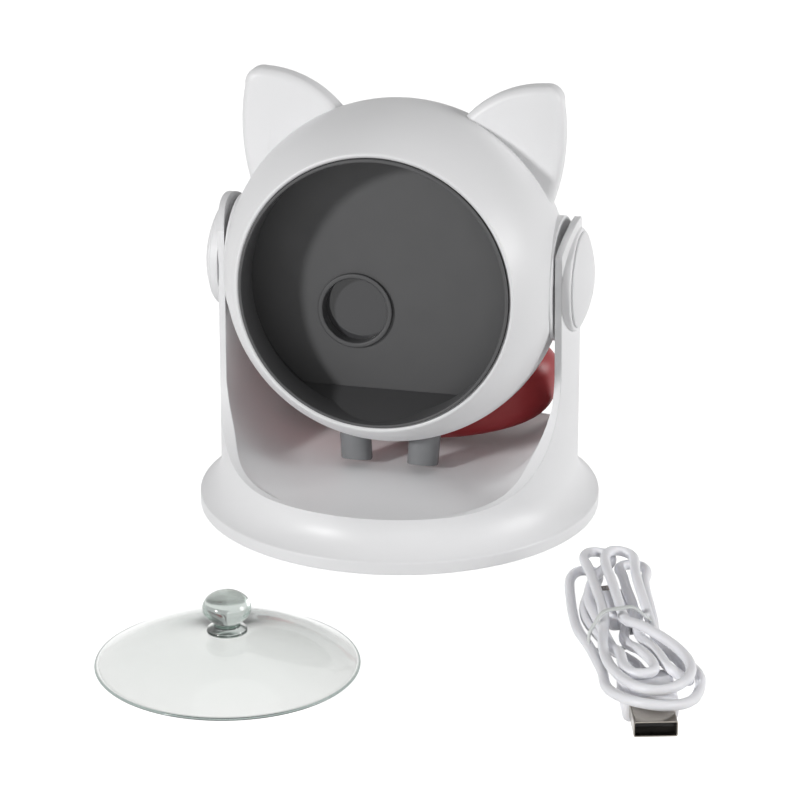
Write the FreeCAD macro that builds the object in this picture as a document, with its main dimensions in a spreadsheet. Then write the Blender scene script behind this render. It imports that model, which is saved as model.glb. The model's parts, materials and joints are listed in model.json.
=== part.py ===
import FreeCAD, Part
import math
import os
import re
import Sketcher

# Automatic cat laser toy: a round head that tilts in a yoke, with its suction cup and its charging cable.
# Millimetres. Origin at the centre of the underside, +Z up, the head looks towards -Y.
# Pieces of the head are drawn in the head's own frame: origin on the tilt axis, looking towards -Y.

SIZES = [
    # base and yoke
    ("pivot_height", 76.4, "height of the tilt axis"),
    ("rest_tilt", 4.0, "degrees that the head looks up at rest"),
    ("flange_radius", 62.0, "outer radius of the base flange"),
    ("flange_rim", 4.2, "height of the flange's upright rim"),
    ("flange_lift", 0.4, "gap under the flange, which stands on its pads"),
    ("flare_top", 15.0, "height where the flare meets the upright wall"),
    ("yoke_radius", 55.3, "outer radius of the yoke wall"),
    ("yoke_wall", 2.0, "thickness of the yoke wall"),
    ("skirt_wall", 2.6, "thickness of the flange's skirt"),
    ("deck_height", 15.4, "top of the deck between the arms"),
    ("deck_thickness", 2.2, "thickness of the deck"),
    ("deck_blend", 20.0, "radius between deck and wall"),
    ("arm_root", 2.0, "height of the arms' lower ends above the deck"),
    ("arm_half_width", 15.0, "half of the arm's width"),
    ("arm_waist", 14.3, "half of the arm's width where it is narrowest"),
    ("arm_blend", 35.0, "radius between arm and deck, seen from the side"),
    ("arm_top_radius", 19.0, "radius of the arm's round top"),
    ("boss_radius", 15.7, "radius of the arm's outer boss"),
    ("boss_face", 56.0, "distance of the boss's face from the middle"),
    ("inner_boss_radius", 9.0, "radius of the arm's inner boss"),
    ("inner_boss_face", 51.2, "distance of the inner boss's face from the middle"),
    ("pivot_shoulder", 4.0, "radius of the shoulder that the head turns on"),
    ("running_gap", 0.05, "radial clearance of a running fit"),
    ("seat_gap", 0.02, "radial clearance of a fixed piece in its seat"),
    ("pivot_screw_head", 6.4, "radius of the pivot screw's head"),
    ("pivot_head_height", 1.6, "height of the pivot screw's head"),
    ("pivot_thread", 1.95, "radius of the pivot screw's thread"),
    ("pivot_recess_floor", 53.4, "distance of the recess's floor from the middle"),
    ("pivot_recess_radius", 7.0, "radius of the recess in the boss"),
    ("cap_radius", 14.6, "radius of the domed cap"),
    ("cap_rim", 0.6, "height of the cap's upright edge"),
    ("cap_dome", 3.4, "height of the cap's dome"),
    ("cap_spigot", 0.75, "depth of the cap's spigot"),
    ("plate_bottom", 0.9, "underside of the base plate"),
    ("plate_thickness", 2.0, "thickness of the base plate"),
    ("plate_gap", 0.2, "gap between base plate and skirt"),
    ("socket_mouth", 5.2, "radius of the suction socket's mouth"),
    ("socket_lip", 3.0, "depth of the socket's mouth"),
    ("socket_chamber", 6.6, "radius of the socket's chamber"),
    ("socket_depth", 10.4, "depth of the socket"),
    ("socket_wall", 2.4, "wall of the socket"),
    ("base_screw_circle", 44.0, "radius of the circle of base screws"),
    ("base_screw_head", 2.3, "radius of a base screw's head"),
    ("base_screw_head_height", 1.0, "height of a base screw's head"),
    ("base_screw_shank", 1.22, "radius of a base screw's shank"),
    ("base_screw_length", 9.0, "length of a base screw below its head"),
    ("base_pillar_radius", 3.4, "radius of the pillars under the deck"),
    ("pad_inset", 12.0, "distance of a foot pad's middle inside the flange's rim"),
    ("pad_radius", 6.0, "radius of a foot pad"),
    ("pad_recess", 0.6, "depth of a pad's recess"),
    # head shells
    ("ball_radius", 52.2, "outer radius of the head"),
    ("ball_forward", 4.5, "distance of the ball's centre in front of the tilt axis"),
    ("ball_wall", 2.2, "thickness of the head's shell"),
    ("hub_radius", 19.0, "radius of the head's side hubs"),
    ("hub_face", 50.6, "distance of a hub's face from the middle"),
    ("hub_boss_radius", 6.5, "radius of the boss behind a hub"),
    ("hub_boss_depth", 5.0, "depth of the boss behind a hub"),
    ("insert_radius", 3.2, "radius of a brass insert"),
    ("insert_length", 4.5, "length of a brass insert"),
    ("washer_radius", 8.6, "radius of a friction washer"),
    ("washer_thickness", 0.55, "thickness of a friction washer"),
    ("opening_radius", 41.2, "radius of the front opening"),
    ("shell_split", 24.5, "distance of the shells' joint behind the ball's centre"),
    ("rear_facet", 49.2, "distance of the rear facet behind the ball's centre"),
    ("shell_screw_circle", 41.5, "radius of the circle of shell screws"),
    ("shell_boss_radius", 3.4, "radius of a shell screw's boss"),
    ("shell_boss_depth", 8.5, "depth of the front shell's bosses"),
    ("shell_screw_shank", 1.2, "radius of a shell screw's shank"),
    ("shell_screw_head", 2.2, "radius of a shell screw's head"),
    ("shell_screw_head_height", 1.6, "height of a shell screw's head"),
    ("shell_screw_floor", 2.4, "wall under a shell screw's head"),
    # ears, collar and feet
    ("ear_front", -2.0, "front face of the ears, in front of the ball's centre"),
    ("ear_thickness", 9.0, "thickness of an ear"),
    ("ear_tip_across", 44.5, "distance of the tip's round from the middle"),
    ("ear_tip_height", 56.3, "height of the tip's round above the ball's centre"),
    ("ear_tip_radius", 4.0, "radius of the ear's tip"),
    ("ear_edge_radius", 2.6, "round of the ear's edges"),
    ("ear_root_run", 29.5, "distance of the ear's inner root beside its tip"),
    ("ear_root_drop", 7.4, "distance of the ear's inner root below its tip"),
    ("ear_side_drop", 34.3, "distance of the ear's outer root below its tip"),
    ("ear_foot_across", 30.0, "distance of the ear's hidden corner from the middle"),
    ("ear_foot_height", 28.0, "height of the ear's hidden corner"),
    ("ear_slope", 21.5, "degrees that the ear's inner edge rises"),
    ("ear_round_above", 45.0, "height above which the ear's edges are rounded"),
    ("ear_peg_radius", 1.6, "radius of an ear's pegs"),
    ("ear_peg_across", 33.0, "distance of the pegs from the middle"),
    ("collar_half_width", 42.9, "half of the collar's width"),
    ("collar_half_depth", 21.9, "half of the collar's depth"),
    ("collar_back", 23.0, "distance of the collar's middle behind the tilt axis"),
    ("collar_drop", 52.9, "distance of the collar's underside below the tilt axis"),
    ("collar_height", 22.5, "height of the collar"),
    ("collar_round", 8.6, "round of the collar's edges"),
    ("stub_across", 10.4, "distance of a stub foot from the middle"),
    ("stub_forward", 9.0, "distance of the stub feet in front of the tilt axis"),
    ("stub_radius", 4.8, "radius of a stub foot"),
    ("stub_gap", 0.5, "gap between the stub feet's swing and the deck"),
    # cavity liner and turret
    ("liner_lip_front", 31.3, "front edge of the liner before the ball's centre"),
    ("liner_lip_back", 19.0, "back edge of the liner's lip"),
    ("liner_lip_inner", 40.2, "inner radius of the liner's lip"),
    ("liner_inner", 44.3, "inner radius of the liner"),
    ("liner_wall", 1.1, "wall of the liner"),
    ("ledge_height", 35.0, "height of the ledge's back edge below the head's axis"),
    ("ledge_slope", 16.4, "degrees that the ledge falls towards the opening"),
    ("floor_forward", 10.0, "front face of the turret disc before the ball's centre"),
    ("turret_thickness", 2.2, "thickness of the turret disc"),
    ("turret_gap", 0.5, "gap round the turret disc"),
    ("port_across", 10.1, "distance of the port beside the head's axis"),
    ("port_below", 11.0, "distance of the port below the head's axis"),
    ("port_outer", 11.6, "outer radius of the port"),
    ("port_inner", 10.0, "inner radius of the port"),
    ("port_proud", 1.2, "height of the port's ring"),
    ("port_depth", 6.8, "depth of the port's tube behind the disc's face"),
    ("window_depth", 3.3, "depth of the window behind the disc's face"),
    ("window_thickness", 1.5, "thickness of the window"),
    ("spindle_radius", 2.0, "radius of the turret's spindle"),
    ("spindle_hub", 4.9, "radius of the turret's hub"),
    ("spindle_front", 8.0, "front end of the spindle before the ball's centre"),
    ("spindle_back", 12.0, "back end of the spindle behind the ball's centre"),
    ("bush_wall", 1.5, "wall of the spindle's bush"),
    ("clip_radius", 3.6, "radius of the spindle's clip"),
    ("clip_thickness", 0.6, "thickness of the spindle's clip"),
    ("clip_groove", 1.5, "radius of the spindle in the clip's groove"),
    ("holder_radius", 4.6, "radius of the laser holder's barrel"),
    ("laser_radius", 3.0, "radius of the laser module"),
    ("laser_back", 4.4, "back end of the laser holder behind the ball's centre"),
    ("gear_module", 0.8, "pitch diameter of a gear for each tooth"),
    ("gear_teeth", 60, "teeth of the drive gear"),
    ("pinion_teeth", 12, "teeth of the motor's pinion"),
    ("gear_backlash", 0.14, "play between the teeth at the pitch circle"),
    ("gear_width", 4.0, "width of the drive gear"),
    ("gear_front", 0.2, "front face of the drive gear before the ball's centre"),
    # chassis, drive and power
    ("chassis_front", 5.5, "front face of the chassis plate behind the ball's centre"),
    ("chassis_thickness", 2.2, "thickness of the chassis plate"),
    ("chassis_radius", 48.8, "radius of the chassis plate"),
    ("chassis_screw_circle", 47.4, "radius of the circle of chassis screws"),
    ("chassis_screw_shank", 0.85, "radius of a chassis screw's shank"),
    ("chassis_screw_head", 1.7, "radius of a chassis screw's head"),
    ("chassis_boss_radius", 2.6, "radius of the chassis screws' bosses"),
    ("chassis_boss_circle", 48.2, "radius of the circle of the chassis screws' bosses"),
    ("chassis_boss_depth", 8.5, "depth of the chassis screws' bosses"),
    ("gearbox_width", 12.0, "width of the gearbox and motor"),
    ("gearbox_height", 10.0, "height of the gearbox and motor"),
    ("gearbox_length", 9.0, "length of the gearbox"),
    ("motor_length", 15.0, "length of the motor"),
    ("shaft_radius", 1.5, "radius of the motor's output shaft"),
    ("clamp_wall", 1.4, "wall of the motor clamp"),
    ("cell_radius", 9.15, "radius of the battery cell"),
    ("cell_length", 65.0, "length of the battery cell"),
    ("cell_back", 20.5, "distance of the cell behind the ball's centre"),
    ("cell_up", 13.1, "height of the cell above the ball's centre"),
    ("cradle_depth", 15.6, "depth of the battery cradle"),
    ("cradle_height", 9.0, "height of the battery cradle"),
    ("cradle_wall", 1.4, "wall of the battery cradle under the cell"),
    ("board_top", -9.0, "top of the main board above the ball's centre"),
    ("board_thickness", 1.6, "thickness of the main board"),
    ("board_half_width", 19.0, "half of the main board's width"),
    ("board_front", 12.0, "front edge of the board behind the ball's centre"),
    ("board_back", 43.8, "back edge of the board behind the ball's centre"),
    ("shelf_across", 15.5, "distance of a shelf arm from the middle"),
    ("shelf_width", 5.0, "width of a shelf arm"),
    ("shelf_height", 2.4, "height of a shelf arm"),
    ("shelf_back", 38.0, "back end of the shelf arms behind the ball's centre"),
    ("rear_inside", 47.0, "inner face of the rear wall behind the ball's centre"),
    ("port_width", 8.94, "width of the charge socket"),
    ("port_height", 3.2, "height of the charge socket"),
    ("port_length", 7.3, "length of the charge socket"),
    ("port_shell", 0.3, "wall of the charge socket"),
    ("port_reach", 47.5, "mouth of the charge socket behind the ball's centre"),
    ("port_gap", 0.15, "gap round the charge socket in the rear wall"),
    ("button_across", 10.5, "distance of the button from the middle"),
    ("button_radius", 3.4, "radius of the mode button"),
    ("button_flange", 4.4, "radius of the button's flange"),
    ("button_proud", 1.0, "height of the button above the rear facet"),
    ("button_travel", 0.6, "travel of the mode button"),
    ("button_up", 1.8, "height of the button's axis above the board"),
    ("switch_width", 6.0, "width of the tact switch"),
    ("switch_depth", 3.4, "depth of the tact switch"),
    ("pipe_radius", 1.25, "radius of the light pipe"),
    # suction cup
    ("cup_across", -18.4, "place of the suction cup beside the middle"),
    ("cup_forward", 131.4, "place of the suction cup in front of the middle"),
    ("cup_radius", 37.6, "radius of the suction cup"),
    ("cup_rim", 0.9, "height of the suction cup's rim"),
    ("cup_height", 11.2, "height of the suction cup's dome"),
    ("cup_wall", 2.4, "thickness of the suction cup's middle"),
    ("cup_neck", 3.5, "radius of the suction cup's neck"),
    ("cup_knob", 6.4, "radius of the suction cup's knob"),
    ("cup_knob_height", 18.0, "height of the middle of the knob"),
    # charging cable
    ("hank_height", 13.0, "height of the folded hank"),
    ("tie_width", 1.6, "width of the cable tie"),
    ("tie_thickness", 0.8, "thickness of the cable tie"),
    ("tie_length", 24.0, "width of the tied hank under its tie"),
    ("tie_across", 87.0, "place of the cable tie beside the middle"),
    ("tie_forward", 96.5, "place of the cable tie in front of the middle"),
    ("tie_turn", 25.0, "degrees that the cable tie is turned in the floor's plane"),
    ("plug_across", 102.9, "place of the charging plug beside the middle"),
    ("plug_forward", 137.0, "place of the charging plug in front of the middle"),
    ("plug_turn", 16.0, "degrees that the charging plug is turned in the floor's plane"),
    ("plug_width", 12.0, "width of the charging plug's metal shell"),
    ("plug_height", 4.5, "height of the charging plug's metal shell"),
    ("plug_length", 12.0, "length of the charging plug's metal shell"),
    ("plug_wall", 0.35, "wall of the charging plug's metal shell"),
    ("tongue_height", 1.7, "height of the charging plug's tongue"),
    ("tongue_recess", 1.2, "distance of the tongue behind the metal shell's mouth"),
    ("grip_width", 15.4, "width of the charging plug's grip"),
    ("grip_height", 7.4, "height of the charging plug's grip"),
    ("grip_length", 19.0, "length of the charging plug's grip"),
    ("tail_width", 11.0, "width of the device plug's grip"),
    ("tail_height", 6.0, "height of the device plug's grip"),
    ("tail_length", 17.0, "length of the device plug's grip"),
    ("tail_shell_width", 8.3, "width of the device plug's metal shell"),
    ("tail_shell_height", 2.5, "height of the device plug's metal shell"),
    ("tail_shell_length", 6.5, "length of the device plug's metal shell"),
    ("tail_across", 79.0, "place of the device plug beside the middle"),
    ("tail_forward", 68.0, "place of the device plug in front of the middle"),
    ("tail_turn", 207.0, "degrees that the device plug is turned in the floor's plane"),
    ("tail_gap", 0.4, "room beside the device plug's metal shell"),
]

# Values that follow from the sizes above. "_y" values are along the head's own Y axis.
PLACES = [
    ("ball_y", "-ball_forward"),
    ("floor_y", "-ball_forward - floor_forward"),
    ("port_back_y", "floor_y + port_depth"),
    ("window_y", "floor_y + window_depth"),
    ("ring_front_y", "floor_y - port_proud"),
    ("gear_front_y", "-ball_forward - gear_front"),
    ("gear_back_y", "gear_front_y + gear_width"),
    ("chassis_front_y", "-ball_forward + chassis_front"),
    ("chassis_back_y", "chassis_front_y + chassis_thickness"),
    ("split_y", "-ball_forward + shell_split"),
    ("facet_y", "-ball_forward + rear_facet"),
    ("inside_y", "-ball_forward + rear_inside"),
    ("cavity_radius", "ball_radius - ball_wall"),
    ("liner_outer", "liner_inner + liner_wall"),
    ("lip_outer", "opening_radius - running_gap"),
    ("turret_radius", "liner_inner - turret_gap"),
    ("bush_radius", "spindle_radius + running_gap + bush_wall"),
    ("gear_distance", "gear_module * (gear_teeth + pinion_teeth) / 2"),
    ("yoke_inside", "yoke_radius - yoke_wall"),
    ("deck_bottom", "deck_height - deck_thickness"),
    ("plate_top", "plate_bottom + plate_thickness"),
    ("arm_bottom", "deck_height + arm_root"),
    ("skirt_inside", "flange_radius - skirt_wall"),
    ("pad_circle", "flange_radius - pad_inset"),
    ("stub_swing", "pivot_height - deck_height - stub_gap"),
    ("socket_outer", "socket_chamber + socket_wall"),
    ("button_up_z", "board_top + button_up"),
]

TINY = 0.001
FAR = 200.0

doc = FreeCAD.newDocument("cat_laser_toy")
sheet = doc.addObject("Spreadsheet::Sheet", "Sizes")
for row, (alias, amount, meaning) in enumerate(SIZES, 1):
    sheet.set(f"A{row}", meaning)
    sheet.set(f"B{row}", str(amount))
    sheet.setAlias(f"B{row}", alias)
doc.recompute()

places = doc.addObject("App::VarSet", "Places")
SIZE_NAMES = {alias for alias, amount, meaning in SIZES}
PLACE_NAMES = {name for name, rule in PLACES}
parts = []
own_seats = {}


def linked(rule):
    """Write a rule in plain size names as an expression that points at the sheet and the places."""
    def point(match):
        word = match.group()
        if word in SIZE_NAMES:
            return "Sizes." + word
        if word in PLACE_NAMES:
            return "Places." + word
        return word
    return re.sub(r"[a-z_]{3,}", point, str(rule))


for name, rule in PLACES:
    places.addProperty("App::PropertyFloat", name)
    places.setExpression(name, linked(rule))
doc.recompute()


def vector(x, y, z):
    return FreeCAD.Vector(x, y, z)


class Values:
    """The sizes and places as numbers, for the shapes that are made in code."""


now = Values()
for alias in SIZE_NAMES:
    setattr(now, alias, float(sheet.get(alias)))
for name in PLACE_NAMES:
    setattr(now, name, float(getattr(places, name)))

# ---------------------------------------------------------------- placing and primitives

TURNS = {
    "Z": "rotation(vector(0; 0; 1); 0)",
    "-Z": "rotation(vector(1; 0; 0); 180)",
    "X": "rotation(vector(0; 1; 0); 90)",
    "-X": "rotation(vector(0; 1; 0); -90)",
    "Y": "rotation(vector(1; 0; 0); -90)",
    "-Y": "rotation(vector(1; 0; 0); 90)",
    # a ball's poles on the Y axis and its seam underneath, clear of the hubs
    "ball": "rotation(vector(1; 0; 0); -90) * rotation(vector(0; 0; 1); 90)",
}
HEAD_FRAME = "placement(vector(0; 0; pivot_height); rotation(vector(1; 0; 0); -rest_tilt))"


def spot(at, turn="Z"):
    """Placement rule for a point and the direction that local Z takes, or a rotation rule."""
    x, y, z = at
    return f"placement(vector({x}; {y}; {z}); {TURNS.get(turn, turn)})"


def bind(thing, **rules):
    for prop, rule in rules.items():
        thing.setExpression(prop, linked(rule))
    return thing


def make(kind, rules, at=(0, 0, 0), turn="Z"):
    thing = doc.addObject(kind, kind.split("::")[1])
    own_seats[thing.Name] = spot(at, turn)
    bind(thing, Placement=own_seats[thing.Name], **rules)
    return thing


def cylinder(radius, height, at=(0, 0, 0), turn="Z"):
    return make("Part::Cylinder", {"Radius": radius, "Height": height}, at, turn)


def cone(radius, end_radius, height, at=(0, 0, 0), turn="Z"):
    return make("Part::Cone", {"Radius1": radius, "Radius2": end_radius, "Height": height}, at, turn)


def sphere(radius, at=(0, 0, 0), turn="ball"):
    return make("Part::Sphere", {"Radius": radius}, at, turn)


def box(width, depth, height, at=(0, 0, 0), turn="Z"):
    """Box whose footprint is centred on the point; with a turn, the point is the box's corner."""
    rules = {"Length": width, "Width": depth, "Height": height}
    if turn == "Z":
        x, y, z = at
        at = (f"{x} - ({width}) / 2", f"{y} - ({depth}) / 2", z)
    return make("Part::Box", rules, at, turn)


def tube(outer, inner, height, at=(0, 0, 0), turn="Z"):
    return cut(cylinder(outer, height, at, turn), cylinder(inner, height, at, turn))


def cut(base, *tools):
    piece = doc.addObject("Part::Cut", "Cut")
    piece.Base = base
    piece.Tool = tools[0] if len(tools) == 1 else fuse(*tools)
    return piece


def fuse(*pieces):
    piece = doc.addObject("Part::MultiFuse", "Fusion")
    piece.Shapes = list(pieces)
    return piece


def common(*pieces):
    piece = doc.addObject("Part::MultiCommon", "Common")
    piece.Shapes = list(pieces)
    return piece


def shaped(shape):
    """Feature whose shape was made in code."""
    piece = doc.addObject("Part::Feature", "Shape")
    piece.Shape = shape
    return piece


def part(label, piece, frame=None):
    """Name a finished sub-part and seat it in its frame, keeping a primitive's own seat."""
    piece.Label = label
    if frame and piece.Name in own_seats:
        frame = f"{frame} * {own_seats[piece.Name]}"
    if frame:
        bind(piece, Placement=frame)
    parts.append(piece)
    return piece


def head_part(label, piece):
    return part(label, piece, HEAD_FRAME)


# ---------------------------------------------------------------- bodies made from sketches

def new_body():
    return doc.addObject("PartDesign::Body", "Body")


def new_sketch(body, role):
    sketch = body.newObject("Sketcher::SketchObject", "Sketch")
    plane = next(thing for thing in body.Origin.OriginFeatures if thing.Role == role)
    sketch.AttachmentSupport = [(plane, "")]
    sketch.MapMode = "FlatFace"
    return sketch


def as_number(rule):
    """Value of a rule, read back from a place that is bound to it."""
    scratch = "scratch_value"
    if scratch not in places.PropertiesList:
        places.addProperty("App::PropertyFloat", scratch)
    places.setExpression(scratch, linked(rule))
    places.recompute()
    number = float(places.getPropertyByName(scratch))
    places.setExpression(scratch, None)
    return number


def outline(sketch, corners):
    """Closed polygon whose corners are held by bound distances from the sketch's origin."""
    spots = [(as_number(x), as_number(y)) for x, y in corners]
    count = len(spots)
    for index, (x, y) in enumerate(spots):
        next_x, next_y = spots[(index + 1) % count]
        sketch.addGeometry(Part.LineSegment(vector(x, y, 0), vector(next_x, next_y, 0)), False)
    for index in range(count):
        sketch.addConstraint(Sketcher.Constraint("Coincident", index, 2, (index + 1) % count, 1))
    for index, (x, y) in enumerate(spots):
        for kind, number, rule in (("DistanceX", x, corners[index][0]), ("DistanceY", y, corners[index][1])):
            held = sketch.addConstraint(Sketcher.Constraint(kind, -1, 1, index, 1, number))
            if linked(rule) != str(rule):
                sketch.setExpression(f"Constraints[{held}]", linked(rule))


def circle(sketch, x, y, radius):
    """Circle held by bound distances and a bound radius."""
    middle = vector(as_number(x), as_number(y), 0)
    ring = sketch.addGeometry(Part.Circle(middle, vector(0, 0, 1), as_number(radius)), False)
    for kind, number, rule in (("DistanceX", middle.x, x), ("DistanceY", middle.y, y)):
        held = sketch.addConstraint(Sketcher.Constraint(kind, -1, 1, ring, 3, number))
        if linked(rule) != str(rule):
            sketch.setExpression(f"Constraints[{held}]", linked(rule))
    held = sketch.addConstraint(Sketcher.Constraint("Radius", ring, as_number(radius)))
    sketch.setExpression(f"Constraints[{held}]", linked(radius))


def turned(corners):
    """Body turned about Z from a polygon of radius and height."""
    body = new_body()
    sketch = new_sketch(body, "XZ_Plane")
    outline(sketch, corners)
    turn = body.newObject("PartDesign::Revolution", "Revolution")
    turn.Profile = sketch
    turn.ReferenceAxis = (sketch, ["V_Axis"])
    turn.Angle = 360
    sketch.Visibility = False
    return body


def plate(height, *rings):
    """Body padded up Z from circles: the first is the outline and the rest are holes."""
    body = new_body()
    sketch = new_sketch(body, "XY_Plane")
    for x, y, radius in rings:
        circle(sketch, x, y, radius)
    pad = body.newObject("PartDesign::Pad", "Pad")
    pad.Profile = sketch
    pad.setExpression("Length", linked(height))
    return body


def drill(body, x, y, radius, depth, copies):
    """Round pocket into a body from its XY plane upwards, repeated about Z."""
    doc.recompute()
    before = body.Shape.Volume
    sketch = new_sketch(body, "XY_Plane")
    circle(sketch, x, y, radius)
    pocket = body.newObject("PartDesign::Pocket", "Pocket")
    pocket.Profile = sketch
    pocket.Reversed = True
    pocket.setExpression("Length", linked(depth))
    pattern = body.newObject("PartDesign::PolarPattern", "PolarPattern")
    pattern.Originals = [pocket]
    pattern.Angle = 360
    pattern.Occurrences = copies
    axis = next(thing for thing in body.Origin.OriginFeatures if thing.Role == "Z_Axis")
    pattern.Axis = (axis, [""])
    body.Tip = pattern
    doc.recompute()
    if body.Shape.Volume >= before:
        raise RuntimeError(f"a pocket of {body.Label} cuts nothing")


# ---------------------------------------------------------------- screws in sets

def screws(label, seats, turn, head, head_height, shank, length, frame=None):
    """Set of like screws: each head's underside is on its seat, and the shank points along the turn."""
    back = {"Z": "-Z", "-Z": "Z", "X": "-X", "-X": "X", "Y": "-Y", "-Y": "Y"}
    pieces = []
    for seat in seats:
        pieces.append(fuse(cylinder(head, head_height, seat, back[turn]),
                           cylinder(shank, length, seat, turn)))
    return part(label, fuse(*pieces), frame)


def around(radius, angles, y):
    """Points on a circle about the head's own axis."""
    return [(f"({radius}) * cos({angle} deg)", y, f"({radius}) * sin({angle} deg)") for angle in angles]


# ---------------------------------------------------------------- yoke and base

QUARTERS = (0, 90, 180, 270)
CORNERS = (45, 135, 225, 315)


def round_of(points_and_arcs):
    """Wire from a list of edges' end points, where an arc is given as a pair of its middle and its end."""
    start = points_and_arcs[0]
    here = start
    edges = []
    for item in points_and_arcs[1:] + [start]:
        if isinstance(item, tuple):
            middle, end = item
            edges.append(Part.Arc(here, middle, end).toShape())
        else:
            end = item
            edges.append(Part.LineSegment(here, end).toShape())
        here = end
    return Part.Wire(edges)


def arc_point(middle, radius, degrees):
    """Point on a circle in the plane x = 0 or y = 0 that the middle's zero names; see the callers."""
    angle = math.radians(degrees)
    return middle[0] + radius * math.cos(angle), middle[1] + radius * math.sin(angle)


def revolved(wire):
    return Part.Face(wire).revolve(vector(0, 0, 0), vector(0, 0, 1), 360)


def make_yoke():
    """Flanged round wall with a deck, cut away at the front and the back to leave two arms.

    It is divided a little above the deck into the base and the two arms that stand on it."""
    step = now.flange_radius - now.yoke_radius
    rise = now.flare_top - now.flange_rim
    flare = (step ** 2 + rise ** 2) / (2 * step)
    flare_middle = (now.yoke_radius + flare, now.flare_top)
    lowest = math.degrees(math.atan2(-rise, step - flare))
    halfway = arc_point(flare_middle, flare, (lowest % 360 + 180) / 2)
    top = now.pivot_height + now.arm_top_radius + 1
    outside = revolved(round_of([
        vector(0, 0, now.flange_lift),
        vector(now.flange_radius, 0, now.flange_lift),
        vector(now.flange_radius, 0, now.flange_rim),
        (vector(halfway[0], 0, halfway[1]), vector(now.yoke_radius, 0, now.flare_top)),
        vector(now.yoke_radius, 0, top),
        vector(0, 0, top),
    ]))
    blend_middle = (now.yoke_inside - now.deck_blend, now.deck_height + now.deck_blend)
    blend_half = arc_point(blend_middle, now.deck_blend, -45)
    inside = revolved(round_of([
        vector(0, 0, now.deck_height),
        vector(blend_middle[0], 0, now.deck_height),
        (vector(blend_half[0], 0, blend_half[1]), vector(now.yoke_inside, 0, blend_middle[1])),
        vector(now.yoke_inside, 0, top + 1),
        vector(0, 0, top + 1),
    ]))
    # side view: deck, concave blends up to the arms, and the arms' round top
    width = now.arm_half_width
    waist = now.arm_waist
    blend_y = waist + now.arm_blend
    blend_z = now.deck_height + now.arm_blend
    half = arc_point((blend_y, blend_z), now.arm_blend, 225)
    shoulder = now.pivot_height + math.sqrt(now.arm_top_radius ** 2 - width ** 2)
    wide = now.flange_radius + 5
    side = round_of([
        vector(-FAR, wide, -1),
        vector(-FAR, wide, now.deck_height),
        vector(-FAR, blend_y, now.deck_height),
        (vector(-FAR, half[0], half[1]), vector(-FAR, waist, blend_z)),
        vector(-FAR, width, now.pivot_height),
        vector(-FAR, width, shoulder),
        (vector(-FAR, 0, now.pivot_height + now.arm_top_radius), vector(-FAR, -width, shoulder)),
        vector(-FAR, -width, now.pivot_height),
        vector(-FAR, -waist, blend_z),
        (vector(-FAR, -half[0], half[1]), vector(-FAR, -blend_y, now.deck_height)),
        vector(-FAR, -wide, now.deck_height),
        vector(-FAR, -wide, -1),
    ])
    silhouette = Part.Face(side).extrude(vector(2 * FAR, 0, 0))
    walls = shaped(outside.cut(inside).common(silhouette))
    middle = (0, 0, "pivot_height")
    pillars = [
        cylinder("base_pillar_radius", "deck_bottom - plate_top + 0.5", (x, y, "plate_top"))
        for x, y in base_screw_spots()
    ]
    pilots = [
        cylinder("base_screw_shank + seat_gap", "base_screw_length", (x, y, "plate_top"))
        for x, y in base_screw_spots()
    ]
    hollow = cut(
        cylinder("yoke_inside", "deck_bottom - plate_top + 0.1", (0, 0, "plate_top - 0.1")), *pillars)
    pieces = [cut(walls, cylinder("skirt_inside", "plate_top + 1", (0, 0, -1)), hollow)]
    cutters = []
    for turn, sign in (("X", ""), ("-X", "-")):
        outer = cylinder("boss_radius", "boss_face - pivot_recess_floor", (f"{sign}pivot_recess_floor", 0,
                                                                          "pivot_height"), turn)
        inner = cylinder("inner_boss_radius", "pivot_recess_floor - inner_boss_face",
                         (f"{sign}inner_boss_face", 0, "pivot_height"), turn)
        clear = cylinder("yoke_inside", FAR, (0, 0, 0))
        pieces += [cut(outer, clear), inner]
        cutters.append(cylinder("pivot_shoulder + running_gap", FAR, middle, turn))
        floor = (f"{sign}pivot_recess_floor", 0, "pivot_height")
        cutters.append(cylinder("pivot_recess_radius", FAR, floor, turn))
    yoke = cut(fuse(*pieces), *cutters, *pilots)
    part("yoke_base", common(yoke, box(2 * FAR, 2 * FAR, "arm_bottom + 1", (0, 0, -1))))
    part("yoke_arm_right", common(yoke, box(FAR, 2 * FAR, FAR, (FAR / 2, 0, "arm_bottom"))))
    part("yoke_arm_left", common(yoke, box(FAR, 2 * FAR, FAR, (-FAR / 2, 0, "arm_bottom"))))


def base_screw_spots():
    return [(f"base_screw_circle * cos({angle} deg)", f"base_screw_circle * sin({angle} deg)")
            for angle in QUARTERS]


def make_base_plate():
    """Round plate in the flange, with the socket for the suction cup's knob in its middle."""
    body = turned([
        ("socket_mouth", "0"),
        ("socket_outer", "0"),
        ("socket_outer", "plate_bottom"),
        ("skirt_inside - plate_gap", "plate_bottom"),
        ("skirt_inside - plate_gap", "plate_top"),
        ("socket_outer", "plate_top"),
        ("socket_outer", "socket_depth + socket_wall / 2"),
        ("0", "socket_depth + socket_wall / 2"),
        ("0", "socket_depth"),
        ("socket_chamber", "socket_depth"),
        ("socket_chamber", "socket_lip"),
        ("socket_mouth", "socket_lip"),
    ])
    drill(body, "base_screw_circle", "0", "base_screw_shank + 0.2", "plate_top", 4)
    drill(body, "base_screw_circle", "0", "base_screw_head + 0.1", "plate_bottom + base_screw_head_height", 4)
    drill(body, "pad_circle * cos(45 deg)", "pad_circle * sin(45 deg)", "pad_radius + seat_gap",
          "plate_bottom + pad_recess", 4)
    part("base_plate", body)


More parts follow.
